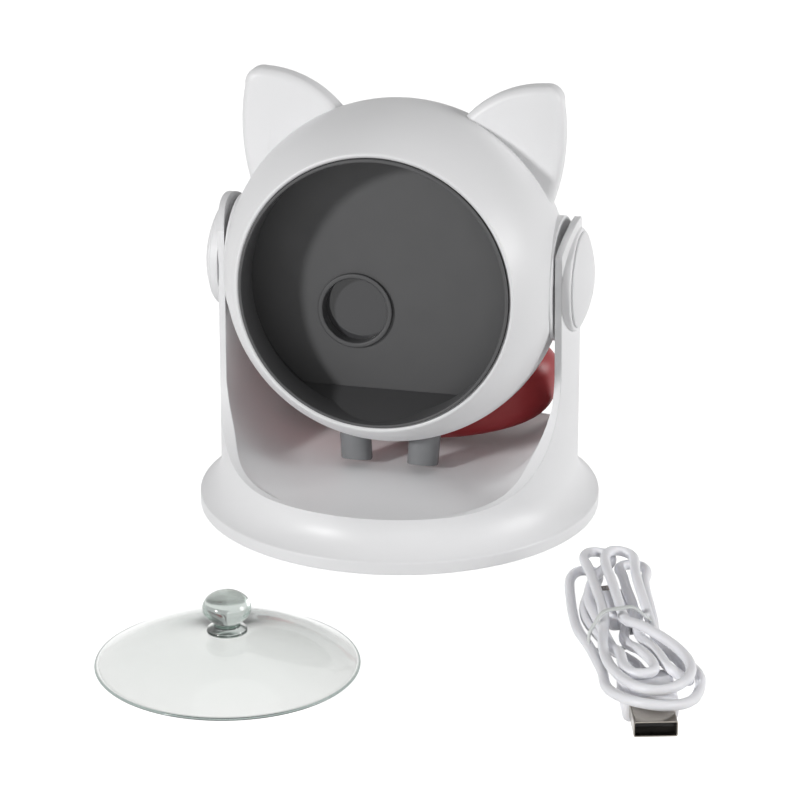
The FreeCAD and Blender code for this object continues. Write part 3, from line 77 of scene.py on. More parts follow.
class ToySizes(PropertyGroup):
    pivot_height: length("Pivot height", 76.4, "Height of the tilt axis above the floor")
    flange_radius: length("Flange radius", 62.0, "Outer radius of the base flange")
    flange_rim: length("Flange rim", 4.2, "Height of the flange's upright rim")
    yoke_radius: length("Yoke radius", 55.3, "Outer radius of the yoke's wall")
    yoke_wall: length("Yoke wall", 2.0, "Thickness of the yoke's wall")
    deck_height: length("Deck height", 15.4, "Top of the deck between the arms")
    deck_blend: length("Deck blend", 25.0, "Radius between the deck and the inside of the arms")
    arm_half_width: length("Arm half width", 15.0, "Half of the width of an arm at the pivot")
    arm_waist: length("Arm waist", 14.3, "Half of the width of an arm where it is narrowest")
    arm_blend: length("Arm blend", 35.0, "Radius between arm and deck, seen from the side")
    arm_top: length("Arm top", 19.0, "Radius of an arm's round top")
    boss_radius: length("Boss radius", 15.7, "Radius of an arm's outer boss")
    boss_face: length("Boss face", 56.0, "Distance of the boss's face from the middle")
    cap_radius: length("Cap radius", 14.6, "Radius of the domed pivot cap")
    cap_dome: length("Cap dome", 3.4, "Height of the cap's dome")
    ball_radius: length("Ball radius", 52.2, "Outer radius of the head")
    ball_forward: length("Ball forward", 4.5, "Distance of the ball's centre before the tilt axis")
    shell_wall: length("Shell wall", 2.2, "Thickness of the head's shell")
    opening_radius: length("Opening radius", 41.2, "Radius of the front opening")
    opening_round: length("Opening round", 0.9, "Round of the front opening's edge")
    shell_split: length("Shell split", 24.5, "Distance of the shells' joint behind the ball's centre")
    hub_radius: length("Hub radius", 19.0, "Radius of the head's side hubs")
    hub_face: length("Hub face", 50.6, "Distance of a hub's face from the middle")
    ear_tip_across: length("Ear tip across", 44.2, "Distance of the ear's tip from the middle")
    ear_tip_height: length("Ear tip height", 53.9, "Height of the ear's tip above the ball's centre")
    ear_tip_radius: length("Ear tip radius", 4.9, "Radius of the ear's tip")
    ear_front: length("Ear front", -2.5, "Front face of the ears on the head's own axis")
    ear_thickness: length("Ear thickness", 9.0, "Thickness of an ear")
    ear_round: length("Ear round", 2.6, "Round of an ear's edges")
    collar_half_width: length("Collar half width", 42.9, "Half of the collar's width")
    collar_half_depth: length("Collar half depth", 21.9, "Half of the collar's depth")
    collar_back: length("Collar back", 23.0, "Distance of the collar's middle behind the tilt axis")
    collar_bottom: length("Collar bottom", 23.5, "Height of the collar's underside")
    collar_height: length("Collar height", 22.5, "Height of the collar")
    collar_round: length("Collar round", 8.0, "Round of the collar's edges")
    stub_radius: length("Stub radius", 4.8, "Radius of a stub foot under the chin")
    port_across: length("Port across", 10.1, "Distance of the port beside the head's axis")
    port_below: length("Port below", 11.0, "Distance of the port below the head's axis")
    port_outer: length("Port outer", 11.6, "Outer radius of the port's ring")
    port_inner: length("Port inner", 10.0, "Inner radius of the port's ring")
    cup_across: length("Cup across", -18.4, "Place of the suction cup beside the middle")
    cup_forward: length("Cup forward", 131.4, "Place of the suction cup in front of the middle")
    cup_radius: length("Cup radius", 37.6, "Radius of the suction cup")
    cup_height: length("Cup height", 11.2, "Height of the suction cup's dome")
    cable_diameter: length("Cable diameter", 3.0, "Diameter of the charging cable")


class ToyColours(PropertyGroup):
    white_plastic: colour("White ABS", "#EFEFF0", "Head, ears, yoke and caps")
    dark_plastic: colour("Dark grey ABS", "#4C4C4D", "Liner, turret disc and port ring")
    red_plastic: colour("Dark red ABS", "#9E2E32", "Collar under the head")
    clear_vinyl: colour("Clear PVC", "#DBDBDA", "Suction cup")
    cable_plastic: colour("White soft PVC", "#F8F8FC", "Cable and the grips of its plugs")
    tie_plastic: colour("White polyethylene", "#DDE0DE", "Cable tie")
    window: colour("Smoked acrylic", "#4E4E50", "Window of the laser's port")


# ---- surfaces

def seat(origin, across, up, along):
    """Origin and three axes, as rows."""
    return np.array([origin, across, up, along], float)


def placed(where, first, second, third):
    """Origin + first * across + second * up + third * along, for whole arrays."""
    points = where[0]
    for share, axis in zip((first, second, third), where[1:]):
        points = points + share[..., None] * axis
    return points


def arc(centre, radius, start, end, steps=16):
    """Points centre + radius (cos a, sin a), for a from start to end in degrees."""
    angle = np.radians(np.linspace(start, end, steps))
    return np.column_stack([centre[0] + radius * np.cos(angle), centre[1] + radius * np.sin(angle)])


def arc_through(first, middle, last, steps=24):
    """Points of the circle through three points, from the first to the last."""
    a, b, c = (np.array(point, float) for point in (first, middle, last))
    system = 2 * np.array([b - a, c - a])
    centre = np.linalg.solve(system, np.array([b @ b - a @ a, c @ c - a @ a]))
    turn = [math.atan2(*(point - centre)[::-1]) for point in (a, b, c)]
    sweep = (turn[2] - turn[0]) % (2 * math.pi)
    if (turn[1] - turn[0]) % (2 * math.pi) > sweep:
        sweep -= 2 * math.pi
    start, end = math.degrees(turn[0]), math.degrees(turn[0] + sweep)
    return arc(centre, np.linalg.norm(a - centre), start, end, steps)


def softened(corners, steps=6):
    """Polyline through corners (a, b, round), each round being a circle that touches both sides."""
    run = []
    spots = [np.array(corner[:2], float) for corner in corners]
    for index, corner in enumerate(corners):
        here = spots[index]
        if len(corner) < 3 or corner[2] == 0:
            run.append(here[None])
            continue
        before, after = spots[index - 1] - here, spots[(index + 1) % len(spots)] - here
        before, after = before / np.linalg.norm(before), after / np.linalg.norm(after)
        half = math.acos(np.clip(before @ after, -1, 1)) / 2
        middle = here + (before + after) / np.linalg.norm(before + after) * corner[2] / math.sin(half)
        start = here + before * corner[2] / math.tan(half)
        end = here + after * corner[2] / math.tan(half)
        share = np.linspace(0, 1, steps)[:, None]
        chord = (1 - share) * (start - middle) + share * (end - middle)
        run.append(middle + chord / np.linalg.norm(chord, axis=1)[:, None] * corner[2])
    return np.vstack(run)


def grid_faces(rows, columns):
    """Quads of a grid whose columns close on themselves."""
    row, column = np.meshgrid(np.arange(rows - 1), np.arange(columns), indexing="ij")
    after = (column + 1) % columns
    quads = np.stack([row * columns + column, row * columns + after,
                      (row + 1) * columns + after, (row + 1) * columns + column], axis=-1)
    return quads.reshape(-1, 4)


def whole_turn(steps):
    """Angles once round the circle, the last a step before the first."""
    return np.linspace(0, 2 * math.pi, steps, endpoint=False)


def lathe(profile, where, steps=192):
    """Profile (radius, height) turned about a seat's third axis: radius (cos u, sin u) in the first two
    axes, for u round the circle. A profile with a second index has a section of its own for each u."""
    turn = whole_turn(steps)
    profile = profile[:, None] if profile.ndim == 2 else profile
    radius, height = profile[..., 0], profile[..., 1]
    points = placed(where, radius * np.cos(turn), radius * np.sin(turn), height + 0 * turn)
    return points.reshape(-1, 3), grid_faces(len(profile), steps)


def closed(profile):
    """Profile that ends where it starts."""
    return np.vstack([profile, profile[:1]])


def rounded_rows(edge, low, tall, steps):
    """Insets and heights for a plate with round edges: inset = edge (1 - sin a) at the height
    low + edge (1 - cos a), for a from 0 to 90 degrees, and the same again from the top."""
    turn = np.radians(np.linspace(0, 90, steps))
    inset, rise = edge * (1 - np.sin(turn)), edge * (1 - np.cos(turn))
    return np.vstack([np.column_stack([inset, low + rise]),
                      np.column_stack([inset[::-1], low + tall - rise[::-1]])])


def stacked(outline, rows, where, crown=0.0):
    """Rings at given insets and heights: ring k is the outline moved inwards by inset k. The first and
    the last ring are drawn in to the outline's middle and rise there by crown (1 - s^2), s being their
    size."""
    along = np.roll(outline, -1, 0) - np.roll(outline, 1, 0)
    inward = np.column_stack([-along[:, 1], along[:, 0]]) / np.linalg.norm(along, axis=1)[:, None]
    rows = np.array(rows, float)
    rings = outline[None] + inward[None] * rows[:, 0][:, None, None]
    middle = outline.mean(0)
    part = np.array([0.0, 0.3, 0.6, 0.75, 0.88, 0.95])
    share, rise = part[:, None, None], crown * (1 - part ** 2)
    rings = np.concatenate([middle + (rings[:1] - middle) * share, rings,
                            middle + (rings[-1:] - middle) * share[::-1]])
    height = np.concatenate([rows[0, 1] - rise, rows[:, 1], rows[-1, 1] + rise[::-1]])[:, None]
    points = placed(where, rings[..., 0], rings[..., 1], height + 0 * rings[..., 0])
    return points.reshape(-1, 3), grid_faces(len(rings), len(outline))


def outside_ball(points):
    """Points inside the head's wall, moved out along the radius to 0.4 mm under its surface."""
    skin = bpy.context.scene.toy_sizes.ball_radius - 0.4 * MM
    middle = ball_seat()[0]
    offset = points - middle
    far = np.linalg.norm(offset, axis=1)[:, None]
    return middle + offset * np.maximum(1, skin / np.maximum(far, 1e-6))


def new_object(name, data):
    """Object with this data, in the scene."""
    thing = bpy.data.objects.new(name, data)
    bpy.context.scene.collection.objects.link(thing)
    return thing


def drawn(name, points, faces):
    """Object with a mesh of points and faces."""
    mesh = bpy.data.meshes.new(name)
    mesh.from_pydata(points, [], faces)
    return new_object(name, mesh)


def mesh_object(name, patches):
    """Object from patches of points and quads, merged where they touch, its faces turned outwards."""
    points, faces = zip(*patches)
    starts = np.cumsum([0] + [len(part) for part in points])
    faces = np.vstack([part + start for part, start in zip(faces, starts)])
    return cleaned(drawn(name, np.vstack(points), faces))


def cleaned(thing, sharp=32, outwards=True):
    """Doubles merged, faces smooth, and edges sharper than an angle kept."""
    work = bmesh.new()
    work.from_mesh(thing.data)
    bmesh.ops.remove_doubles(work, verts=work.verts, dist=2e-6)
    bmesh.ops.dissolve_degenerate(work, dist=1e-7, edges=work.edges)
    if outwards:
        bmesh.ops.recalc_face_normals(work, faces=work.faces)
    work.to_mesh(thing.data)
    work.free()
    thing.data.shade_smooth()
    thing.data.set_sharp_from_angle(angle=math.radians(sharp))
    return thing


def finished(thing, body, slot, *nodes):
    """Even normals and a finish for a piece that rides on a body and stands for CAD nodes."""
    even = thing.modifiers.new("Even normals", "WEIGHTED_NORMAL")
    even.keep_sharp = True
    thing.data.materials.clear()
    thing.data.materials.append(finish(slot))
    if nodes:
        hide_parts(*nodes)
    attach(thing, body)
    return thing


def smooth_copy(node, name, body, slot, sharp=28):
    """Merged copy of a CAD node's mesh with smooth faces."""
    thing = new_object(name, frame["nodes"][node].data.copy())
    return finished(cleaned(thing, sharp, outwards=False), body, slot, node)


def ball_seat():
    """Ball's centre; right, up and forwards of the head, which looks up a little."""
    toy = bpy.context.scene.toy_sizes
    forward = np.array([0, -math.cos(TILT), math.sin(TILT)])
    up = np.array([0, math.sin(TILT), math.cos(TILT)])
    middle = np.array([0, 0, toy.pivot_height]) + toy.ball_forward * forward
    return seat(middle, (1, 0, 0), up, forward)


def pivot_seat():
    """Middle of the tilt axis; right, back and up of the head."""
    toy = bpy.context.scene.toy_sizes
    return seat((0, 0, toy.pivot_height), (1, 0, 0), (0, math.cos(TILT), -math.sin(TILT)),
                (0, math.sin(TILT), math.cos(TILT)))


def side_seat(side):
    """Middle of the tilt axis, looking out along it to the right (1) or the left (-1)."""
    toy = bpy.context.scene.toy_sizes
    return seat((0, 0, toy.pivot_height), (0, side, 0), (0, 0, 1), (side, 0, 0))


FLOOR = seat((0, 0, 0), (1, 0, 0), (0, 1, 0), (0, 0, 1))


# ---- materials

# slot: (material's name, colour or its property, metallic, roughness, grain in mm, grain depth in mm)
FINISHES = {
    # moulded, fine spark finish: soft broad highlights and no visible grain beyond a hand's distance
    "white_plastic": ("White ABS, moulded", "white_plastic", 0, 0.42, 0.5, 0.006),
    # moulded, matt so that the laser gives no glare: dull, a little lighter at grazing angles
    "dark_plastic": ("Dark grey ABS, matt moulded", "dark_plastic", 0, 0.55, 0.4, 0.010),
    # moulded in colour, satin: deep red with a narrow pale edge of light
    "red_plastic": ("Dark red ABS, satin moulded", "red_plastic", 0, 0.38, 0.5, 0.006),
    # extruded soft sheath: smooth, slightly waxy and cool white
    "cable_plastic": ("White soft PVC, extruded", "cable_plastic", 0, 0.40, 0.8, 0.008),
    # thin drawn strip: waxy and a little see-through
    "tie_plastic": ("White polyethylene, drawn", "tie_plastic", 0, 0.45, 0.8, 0.008),
    # turned and zinc plated: bright grey with a fine grain
    "steel": ("Zinc plated steel, turned", "#A8AAAD", 1, 0.34, 0.3, 0.003),
    # deep-drawn sheet: bright, warm grey, sharper reflections than the screws
    "plated_steel": ("Nickel plated steel, drawn", "#938E87", 1, 0.20, 0.3, 0.002),
    # turned and left bare: yellow, with a soft shine
    "brass": ("Brass, turned", "#C9A052", 1, 0.30, 0.3, 0.003),
    # moulded: nearly black, no gloss
    "rubber": ("Black rubber, moulded", "#262626", 0, 0.80, 0.6, 0.020),
    # moulded, dense and slippery: plain mid grey with a low sheen
    "inner_plastic": ("Grey acetal, moulded", "#77787A", 0, 0.45, 0.5, 0.006),
    # shrunk over the cell: smooth blue with broad shallow ripples
    "cell_wrap": ("Blue PVC shrink sleeve", "#2C5A8C", 0, 0.35, 1.5, 0.010),
    # printed lacquer: dark green, with a slight unevenness
    "board": ("Green solder mask on fibreglass", "#1E5A33", 0, 0.40, 0.4, 0.008),
    # moulded, milky: pale, with the light going some way into it
    "light": ("Clear polycarbonate, diffusing", "#DCE4DE", 0, 0.30, 0.5, 0.004),
    # cast and polished: dark grey with sharp reflections
    "window": ("Smoked acrylic, polished", "window", 0, 0.06, 0, 0),
    # moulded clear and flexible: glossy, its edges grey-green where the light goes far through it, with
    # a painted dark band at the rim that stands for the shade at its edge
    "clear_vinyl": ("Clear PVC, moulded", "clear_vinyl", 0, 0.10, 0, 0),
}
WAXY = {"Subsurface Weight": 0.15, "Subsurface Radius": (0.0012, 0.0011, 0.0010)}
# slot: how light goes into or through it
DEPTHS = {
    "cable_plastic": WAXY,
    "tie_plastic": WAXY,
    "light": {"Transmission Weight": 0.7},
    "window": {"Transmission Weight": 0.25, "IOR": 1.49},
    "clear_vinyl": {"Transmission Weight": 1.0, "IOR": 1.45},
}


def add(tree, kind, settings=None, **inputs):
    """Add a node with its settings; an input is a value or the socket that feeds it."""
    node = tree.nodes.new(kind)
    for key, value in (settings or {}).items():
        setattr(node, key, value)
    for key, value in inputs.items():
        socket = node.inputs[int(key[1:]) if key[1:].isdigit() else key.replace("_", " ")]
        if isinstance(value, bpy.types.NodeSocket):
            tree.links.new(value, socket)
        else:
            socket.default_value = value
    return node


def cup_tint_and_painted_rim_shade(tree, shader, place, base):
    """Clear plastic's colour: a painted dark grey-green band over the rim's last millimetre, which
    stands for the shade at the rim's edge as well as the green of thick PVC; and all of it takes away a
    little light, about a tenth over 2 mm."""
    toy = bpy.context.scene.toy_sizes
    flat = add(tree, "ShaderNodeVectorMath", {"operation": "MULTIPLY"}, _0=place, _1=(1, 1, 0))
    away = add(tree, "ShaderNodeVectorMath", {"operation": "DISTANCE"}, _0=flat.outputs[0],
               _1=(toy.cup_across, -toy.cup_forward, 0))
    # painted shade: the mask of the dark grey-green band at the cup's rim, mixed into the base colour
    edge = add(tree, "ShaderNodeMapRange", Value=away.outputs["Value"],
               From_Min=toy.cup_radius - 1.0 * MM, From_Max=toy.cup_radius - 0.4 * MM)
    shade = add(tree, "ShaderNodeMix", {"data_type": "RGBA"}, _0=edge.outputs["Result"], _6=base,
                _7=(*linear("#55615D"), 1))
    tree.links.new(shade.outputs[2], shader.inputs["Base Color"])
    inside = add(tree, "ShaderNodeVolumeAbsorption", Color=(*linear("#BCCEC7"), 1), Density=60.0)
    tree.links.new(inside.outputs["Volume"], tree.nodes["Material Output"].inputs["Volume"])


def grained(tree, shader, place, roughness, grain, depth):
    """Edges rounded by 0.4 mm, a grain of noise with its own width and depth, and a gloss that handling
    has changed in patches."""
    patch_width, glossier, duller = 12 * MM, 0.04, 0.05
    soft = add(tree, "ShaderNodeBevel", {"samples": 6}, Radius=0.4 * MM).outputs["Normal"]
    noise = add(tree, "ShaderNodeTexNoise", Vector=place, Scale=1 / (grain * MM), Detail=2.0)
    bump = add(tree, "ShaderNodeBump", Height=noise.outputs["Fac"], Distance=depth * MM, Strength=0.6,
               Normal=soft)
    tree.links.new(bump.outputs["Normal"], shader.inputs["Normal"])
    patches = add(tree, "ShaderNodeTexNoise", Vector=place, Scale=1 / patch_width, Detail=3.0)
    gloss = add(tree, "ShaderNodeMapRange", Value=patches.outputs["Fac"], From_Min=0.3, From_Max=0.7,
                To_Min=roughness - glossier, To_Max=roughness + duller)
    tree.links.new(gloss.outputs["Result"], shader.inputs["Roughness"])


def new_material(title):
    """Material with nodes, its tree and its shader."""
    material = bpy.data.materials.new(title)
    material.use_nodes = True
    return material, material.node_tree, material.node_tree.nodes["Principled BSDF"]


def finish(slot):
    """Material of a slot, made the first time that it is asked for."""
    title, shade, metallic, roughness, grain, depth = FINISHES[slot]
    if title in bpy.data.materials:
        return bpy.data.materials[title]
    colours = bpy.context.scene.toy_colours
    base = (*(linear(shade) if shade.startswith("#") else getattr(colours, shade)), 1)
    material, tree, shader = new_material(title)
    values = {"Base Color": base, "Metallic": metallic, "Roughness": roughness, **DEPTHS.get(slot, {})}
    for name, value in values.items():
        shader.inputs[name].default_value = value
    place = add(tree, "ShaderNodeTexCoord").outputs["Object"]
    if slot == "clear_vinyl":
        cup_tint_and_painted_rim_shade(tree, shader, place, base)
    if grain:
        grained(tree, shader, place, roughness, grain, depth)
    return material


# ---- operators

# name: (place, target, diameter, power): a fairly small key from the left front, a broad fill from the
# right, a weak light in front and a broad weak one overhead
LAMPS = {
    "key": ((-0.80, -1.19, 0.52), (0.0, 0.0, 0.07), 0.16, 12.5),
    "fill": ((1.50, 0.05, 0.50), (0.0, 0.0, 0.06), 0.70, 13.0),
    "front": ((0.55, -1.40, 0.42), (0.0, 0.0, 0.05), 0.50, 2.2),
    "top": ((0.0, 0.1, 1.60), (0.0, 0.0, 0.05), 1.00, 1.8),
}
# the camera's right, up and backwards, and its place
CAMERA = ((0.9726, 0.2326, 0.0), (-0.0825, 0.345, 0.935), (0.2174, -0.909, 0.355),
          (0.2558, -1.0694, 0.4500))
CAMERA_LENS, CAMERA_SENSOR = 171.3, 36.0
FLOOR_HALF = 8.0
# strengths of the world's light and of the paper's glow, and the paper's colour
AMBIENT, GLOW, PAPER = 0.09, 0.90, "#CECECE"
WHITE = (1, 1, 1, 1)


class TOY_OT_stage(Operator):
    """Add the floor, the soft lights and the camera"""
    bl_idname = "toy.stage"
    bl_label = "Stage"

    def execute(self, context):
        scene = context.scene
        scene.view_settings.view_transform = "Standard"
        corners = np.array([(-1, -1), (1, -1), (1, 1), (-1, 1)]) * FLOOR_HALF
        floor = drawn("floor", np.column_stack([corners, np.zeros(4)]), [(0, 1, 2, 3)])
        floor.data.materials.append(self.paper())
        scene.world = self.studio()
        for name, (place, target, size, power) in LAMPS.items():
            self.lamp(name, place, target, size, power)
        camera = new_object("camera", bpy.data.cameras.new("camera"))
        camera.data.lens, camera.data.sensor_width = CAMERA_LENS, CAMERA_SENSOR
        camera.matrix_world = self.pose(*CAMERA)
        scene.camera = camera
        return {"FINISHED"}

    def seen(self, tree):
        """1 for rays from the camera, from gloss and from clear pieces, else 0."""
        path = add(tree, "ShaderNodeLightPath")
        either = add(tree, "ShaderNodeMath", {"operation": "MAXIMUM"}, _0=path.outputs["Is Camera Ray"],
                     _1=path.outputs["Is Glossy Ray"])
        return add(tree, "ShaderNodeMath", {"operation": "MAXIMUM"}, _0=either.outputs[0],
                   _1=path.outputs["Is Transmission Ray"]).outputs[0]

    def paper(self):
        """White paper that is lit, keeps shadows, and shows white to the camera."""
        material, tree, shader = new_material("White studio paper")
        shader.inputs["Base Color"].default_value = (*linear(PAPER), 1)
        shader.inputs["Roughness"].default_value = 0.95
        shader.inputs["Specular IOR Level"].default_value = 0.1
        shader.inputs["Emission Color"].default_value = WHITE
        glow = add(tree, "ShaderNodeMath", {"operation": "MULTIPLY"}, _0=self.seen(tree), _1=GLOW)
        tree.links.new(glow.outputs[0], shader.inputs["Emission Strength"])
        return material

    def studio(self):
        """World that lights the toy weakly from all sides and shows white to the camera."""
        world = bpy.data.worlds.new("Studio")
        world.use_nodes = True
        tree = world.node_tree
        strength = add(tree, "ShaderNodeMapRange", Value=self.seen(tree), To_Min=AMBIENT, To_Max=1.0)
        background = tree.nodes["Background"]
        background.inputs["Color"].default_value = WHITE
        tree.links.new(strength.outputs["Result"], background.inputs["Strength"])
        return world

    def pose(self, right, up, back, place):
        """Matrix with three axes and a place as its columns."""
        return Matrix([[*axis, 0] for axis in (right, up, back)] + [[*place, 1]]).transposed()

    def lamp(self, name, place, target, size, power):
        """Round area light that looks from its place to a target."""
        light = bpy.data.lights.new(name, "AREA")
        light.shape = "DISK"
        light.size = size
        light.energy = power
        back = np.array(place) - np.array(target)
        back /= np.linalg.norm(back)
        right = np.cross((0, 0, 1), back)
        right /= np.linalg.norm(right)
        thing = new_object(name, light)
        thing.matrix_world = self.pose(right, np.cross(back, right), back, place)


# points that draw the cable's spline after them, in mm
CABLE_ROUTE = [
    # out of the charging plug and up to the waist
    (98.9, -123.0, 3.7), (97.5, -117.2, 3.4), (94.2, -108.6, 1.9), (89.6, -104.0, 1.6),
    (84.8, -99.5, 1.6),
    # low left loop
    (80.2, -91.5, 1.6), (75.4, -83.5, 1.6), (72.4, -74.0, 1.6), (71.8, -62.0, 1.7), (73.3, -52.5, 1.8),
    (71.0, -47.2, 2.0), (65.8, -47.5, 2.0), (64.2, -53.9, 1.7), (67.0, -66.0, 1.6), (70.0, -78.0, 1.6),
    (73.6, -89.5, 1.6), (78.6, -98.5, 1.6),
    # outer front loop, left side down and right side up
    (82.4, -107.5, 1.8), (86.6, -118.5, 2.6), (89.2, -130.5, 4.6), (93.8, -142.4, 8.0),
    (101.5, -150.6, 10.0), (110.2, -149.2, 9.0), (115.2, -139.0, 6.4), (115.2, -126.0, 4.4),
    (113.4, -114.5, 3.2), (108.0, -106.2, 2.6), (101.6, -100.6, 2.2), (97.0, -94.0, 2.4),
    # right back loop, right side up and left side down
    (95.0, -85.0, 4.6), (91.4, -75.0, 7.2), (87.8, -61.0, 6.0), (86.8, -47.6, 3.4), (84.2, -42.6, 3.1),
    (79.4, -43.0, 3.4), (77.8, -48.5, 4.2), (81.2, -59.0, 6.9), (84.4, -71.0, 7.8), (88.4, -81.5, 7.6),
    (90.8, -90.5, 4.9),
    # over the plug, round its end and back up on the right
    (93.6, -98.5, 5.2), (96.6, -107.0, 8.2), (101.4, -115.1, 9.0), (104.7, -122.7, 9.0),
    (107.8, -125.9, 8.6), (111.3, -125.0, 6.0), (111.3, -119.9, 3.6), (107.6, -112.8, 5.6),
    (102.4, -106.2, 5.4), (98.0, -98.5, 5.4),
    # upper back loop, right side up and left side down
    (94.2, -89.0, 7.8), (89.8, -78.0, 10.6), (85.4, -63.0, 10.1), (83.3, -50.3, 8.1),
    (80.9, -44.6, 7.6), (76.1, -44.6, 8.4), (74.1, -49.8, 9.0), (76.5, -61.9, 10.6),
    (80.8, -74.0, 11.0), (84.8, -86.0, 10.4), (88.2, -95.0, 8.4),
    # upper front loop, right side down and left side up
    (93.0, -101.2, 10.9), (100.6, -107.2, 10.6), (107.6, -113.6, 9.6), (112.4, -122.5, 9.2),
    (112.4, -133.0, 9.4), (107.4, -141.2, 9.6), (99.6, -140.4, 9.6), (93.2, -131.5, 8.4),
    (87.5, -119.5, 7.0), (84.2, -108.0, 7.4), (83.2, -98.6, 7.8),
    # left back loop, left side up and right side down
    (80.8, -88.0, 8.6), (76.4, -76.0, 9.4), (71.8, -62.0, 9.1), (67.1, -48.9, 6.8), (68.3, -41.6, 6.0),
    (74.6, -41.5, 5.3), (76.1, -48.7, 5.6), (73.6, -58.0, 6.3), (72.9, -66.0, 6.0), (73.8, -75.0, 4.9),
    (78.2, -85.5, 4.8), (82.6, -96.0, 4.7),
    # twice over the plug, then up to the plug on the other end
    (87.0, -107.0, 5.0), (91.0, -115.8, 8.4), (93.2, -125.8, 9.0), (97.2, -131.0, 9.0),
    (102.8, -128.5, 9.0), (101.3, -121.6, 9.0), (95.8, -113.2, 8.6), (91.5, -103.8, 4.9),
    (88.2, -96.5, 3.4), (87.6, -90.0, 3.0), (86.7, -83.1, 3.0),
]


class TOY_OT_cable(Operator):
    """Add the folded charging cable with its tie and both plugs"""
    bl_idname = "toy.cable"
    bl_label = "Charging cable"

    def execute(self, context):
        toy = context.scene.toy_sizes
        charging = self.plug("usb_a", place=(104.1, -141.3), turn=16.0, grip=(15.4, 19.0, 7.4),
                             grip_corner=1.8, shell=(12.0, 12.0, 4.5), shell_corner=0.6, wall=0.35)
        charging.append(frame["nodes"]["usb_a_tongue"])
        device = self.plug("usb_c", place=(79.0, -68.0), turn=207.0, grip=(11.0, 17.0, 6.0),
                           grip_corner=2.4, shell=(8.3, 6.5, 2.5), shell_corner=1.2, wall=0.30)
        tie = self.tie()
        route = np.array(CABLE_ROUTE) * MM
        curve = bpy.data.curves.new("charging_cable", "CURVE")
        curve.dimensions = "3D"
        curve.bevel_depth = toy.cable_diameter / 2
        curve.bevel_resolution = 5
        curve.use_fill_caps = True
        spline = curve.splines.new("NURBS")
        spline.points.add(len(route) - 1)
        spline.points.foreach_set("co", np.column_stack([route, np.ones(len(route))]).ravel())
        spline.order_u = 3
        spline.use_endpoint_u = True
        spline.resolution_u = 10
        cable = new_object("charging_cable", curve)
        curve.materials.append(finish("cable_plastic"))
        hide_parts("cable_hank")
        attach(cable, "base")
        return {"FINISHED"}

    def plug(self, prefix, place, turn, grip, grip_corner, shell, shell_corner, wall):
        """Grip and hollow metal shell: rounded rectangles stacked along the plug's axis, which points
        out of the shell. The shell's rings run forwards outside, over its edge and back inside. All in
        mm."""
        angle = math.radians(turn)
        across = np.array([math.cos(angle), math.sin(angle), 0])
        out = np.array([math.sin(angle), -math.cos(angle), 0])
        origin = np.array([place[0], place[1], grip[2] / 2]) * MM
        where = seat(origin, across, (0, 0, 1), out)
        back, soft, throat, relief = -grip[1], 1.1, 1.62, 5.5
        # (inset, place along the axis)
        rows = [(0.9, back), (0.35, back + 0.3), (0.0, back + soft), (0.0, -soft), (0.3, -0.3),
                (0.8, 0.0)]
        # the strain relief: (radius, place along the axis, round)
        sleeve = softened([(throat, back - relief, 0), (1.95, back - relief, 0.2), (2.6, back + 0.5, 0),
                           (throat, back + 0.5, 0)])
        grip_piece = mesh_object(prefix + "_grip", [
            stacked(self.rectangle(grip[0], grip[2], grip_corner), np.array(rows) * MM, where),
            lathe(closed(sleeve) * MM, where, 48)])
        finished(grip_piece, "base", "cable_plastic", prefix + "_overmould")
        tip, bevel = shell[1], 0.12
        rows = [(0, 0), (0, tip - bevel), (0.05, tip - 0.03), (wall / 2, tip), (wall - 0.05, tip - 0.03),
                (wall, tip - bevel), (wall, wall)]
        shell_piece = mesh_object(prefix + "_sleeve", [
            stacked(self.rectangle(shell[0], shell[2], shell_corner), np.array(rows) * MM, where)])
        finished(shell_piece, "base", "plated_steel", prefix + "_shell")
        return [grip_piece, shell_piece]

    def rectangle(self, width, height, corner):
        """Rounded rectangle about the middle, anticlockwise, with rounds of eight points."""
        half, tall = width / 2, height / 2
        corners = [(half, -tall), (half, tall), (-half, tall), (-half, -tall)]
        return softened([(*spot, corner) for spot in corners], 8) * MM

    def tie(self):
        """Flat band round the waist: a thin rounded strip carried along a loop with rounded corners."""
        turn = math.radians(25.0)
        across = np.array([math.cos(turn), math.sin(turn), 0])
        along = np.array([-math.sin(turn), math.cos(turn), 0])
        # (place across the hank, height, round) in mm
        loop = softened([(-9.2, 0.45, 3.5), (11.2, 0.45, 3.5), (9.6, 8.0, 4.0), (4.0, 13.2, 3.5),
                         (-5.0, 12.6, 4.0), (-8.6, 6.5, 3.5)], 9) * MM
        half_width, half_thick, edge = 0.8, 0.3, 0.2
        strip = softened([(-half_width, -half_thick, edge), (half_width, -half_thick, edge),
                          (half_width, half_thick, edge), (-half_width, half_thick, edge)], 4) * MM
        step = np.roll(loop, -1, 0) - np.roll(loop, 1, 0)
        out = np.column_stack([step[:, 1], -step[:, 0]]) / np.linalg.norm(step, axis=1)[:, None]
        rings = loop[:, None] + out[:, None] * strip[None, :, 1, None]
        waist = np.array([87.0, -96.5, 0]) * MM
        where = seat(waist, across, (0, 0, 1), along)
        points = placed(where, rings[..., 0], rings[..., 1], strip[None, :, 0] + 0 * rings[..., 0])
        points = np.concatenate([points, points[:1]])
        tie = mesh_object("tie_band", [(points.reshape(-1, 3), grid_faces(len(points), len(strip)))])
        return finished(tie, "base", "tie_plastic", "cable_tie")


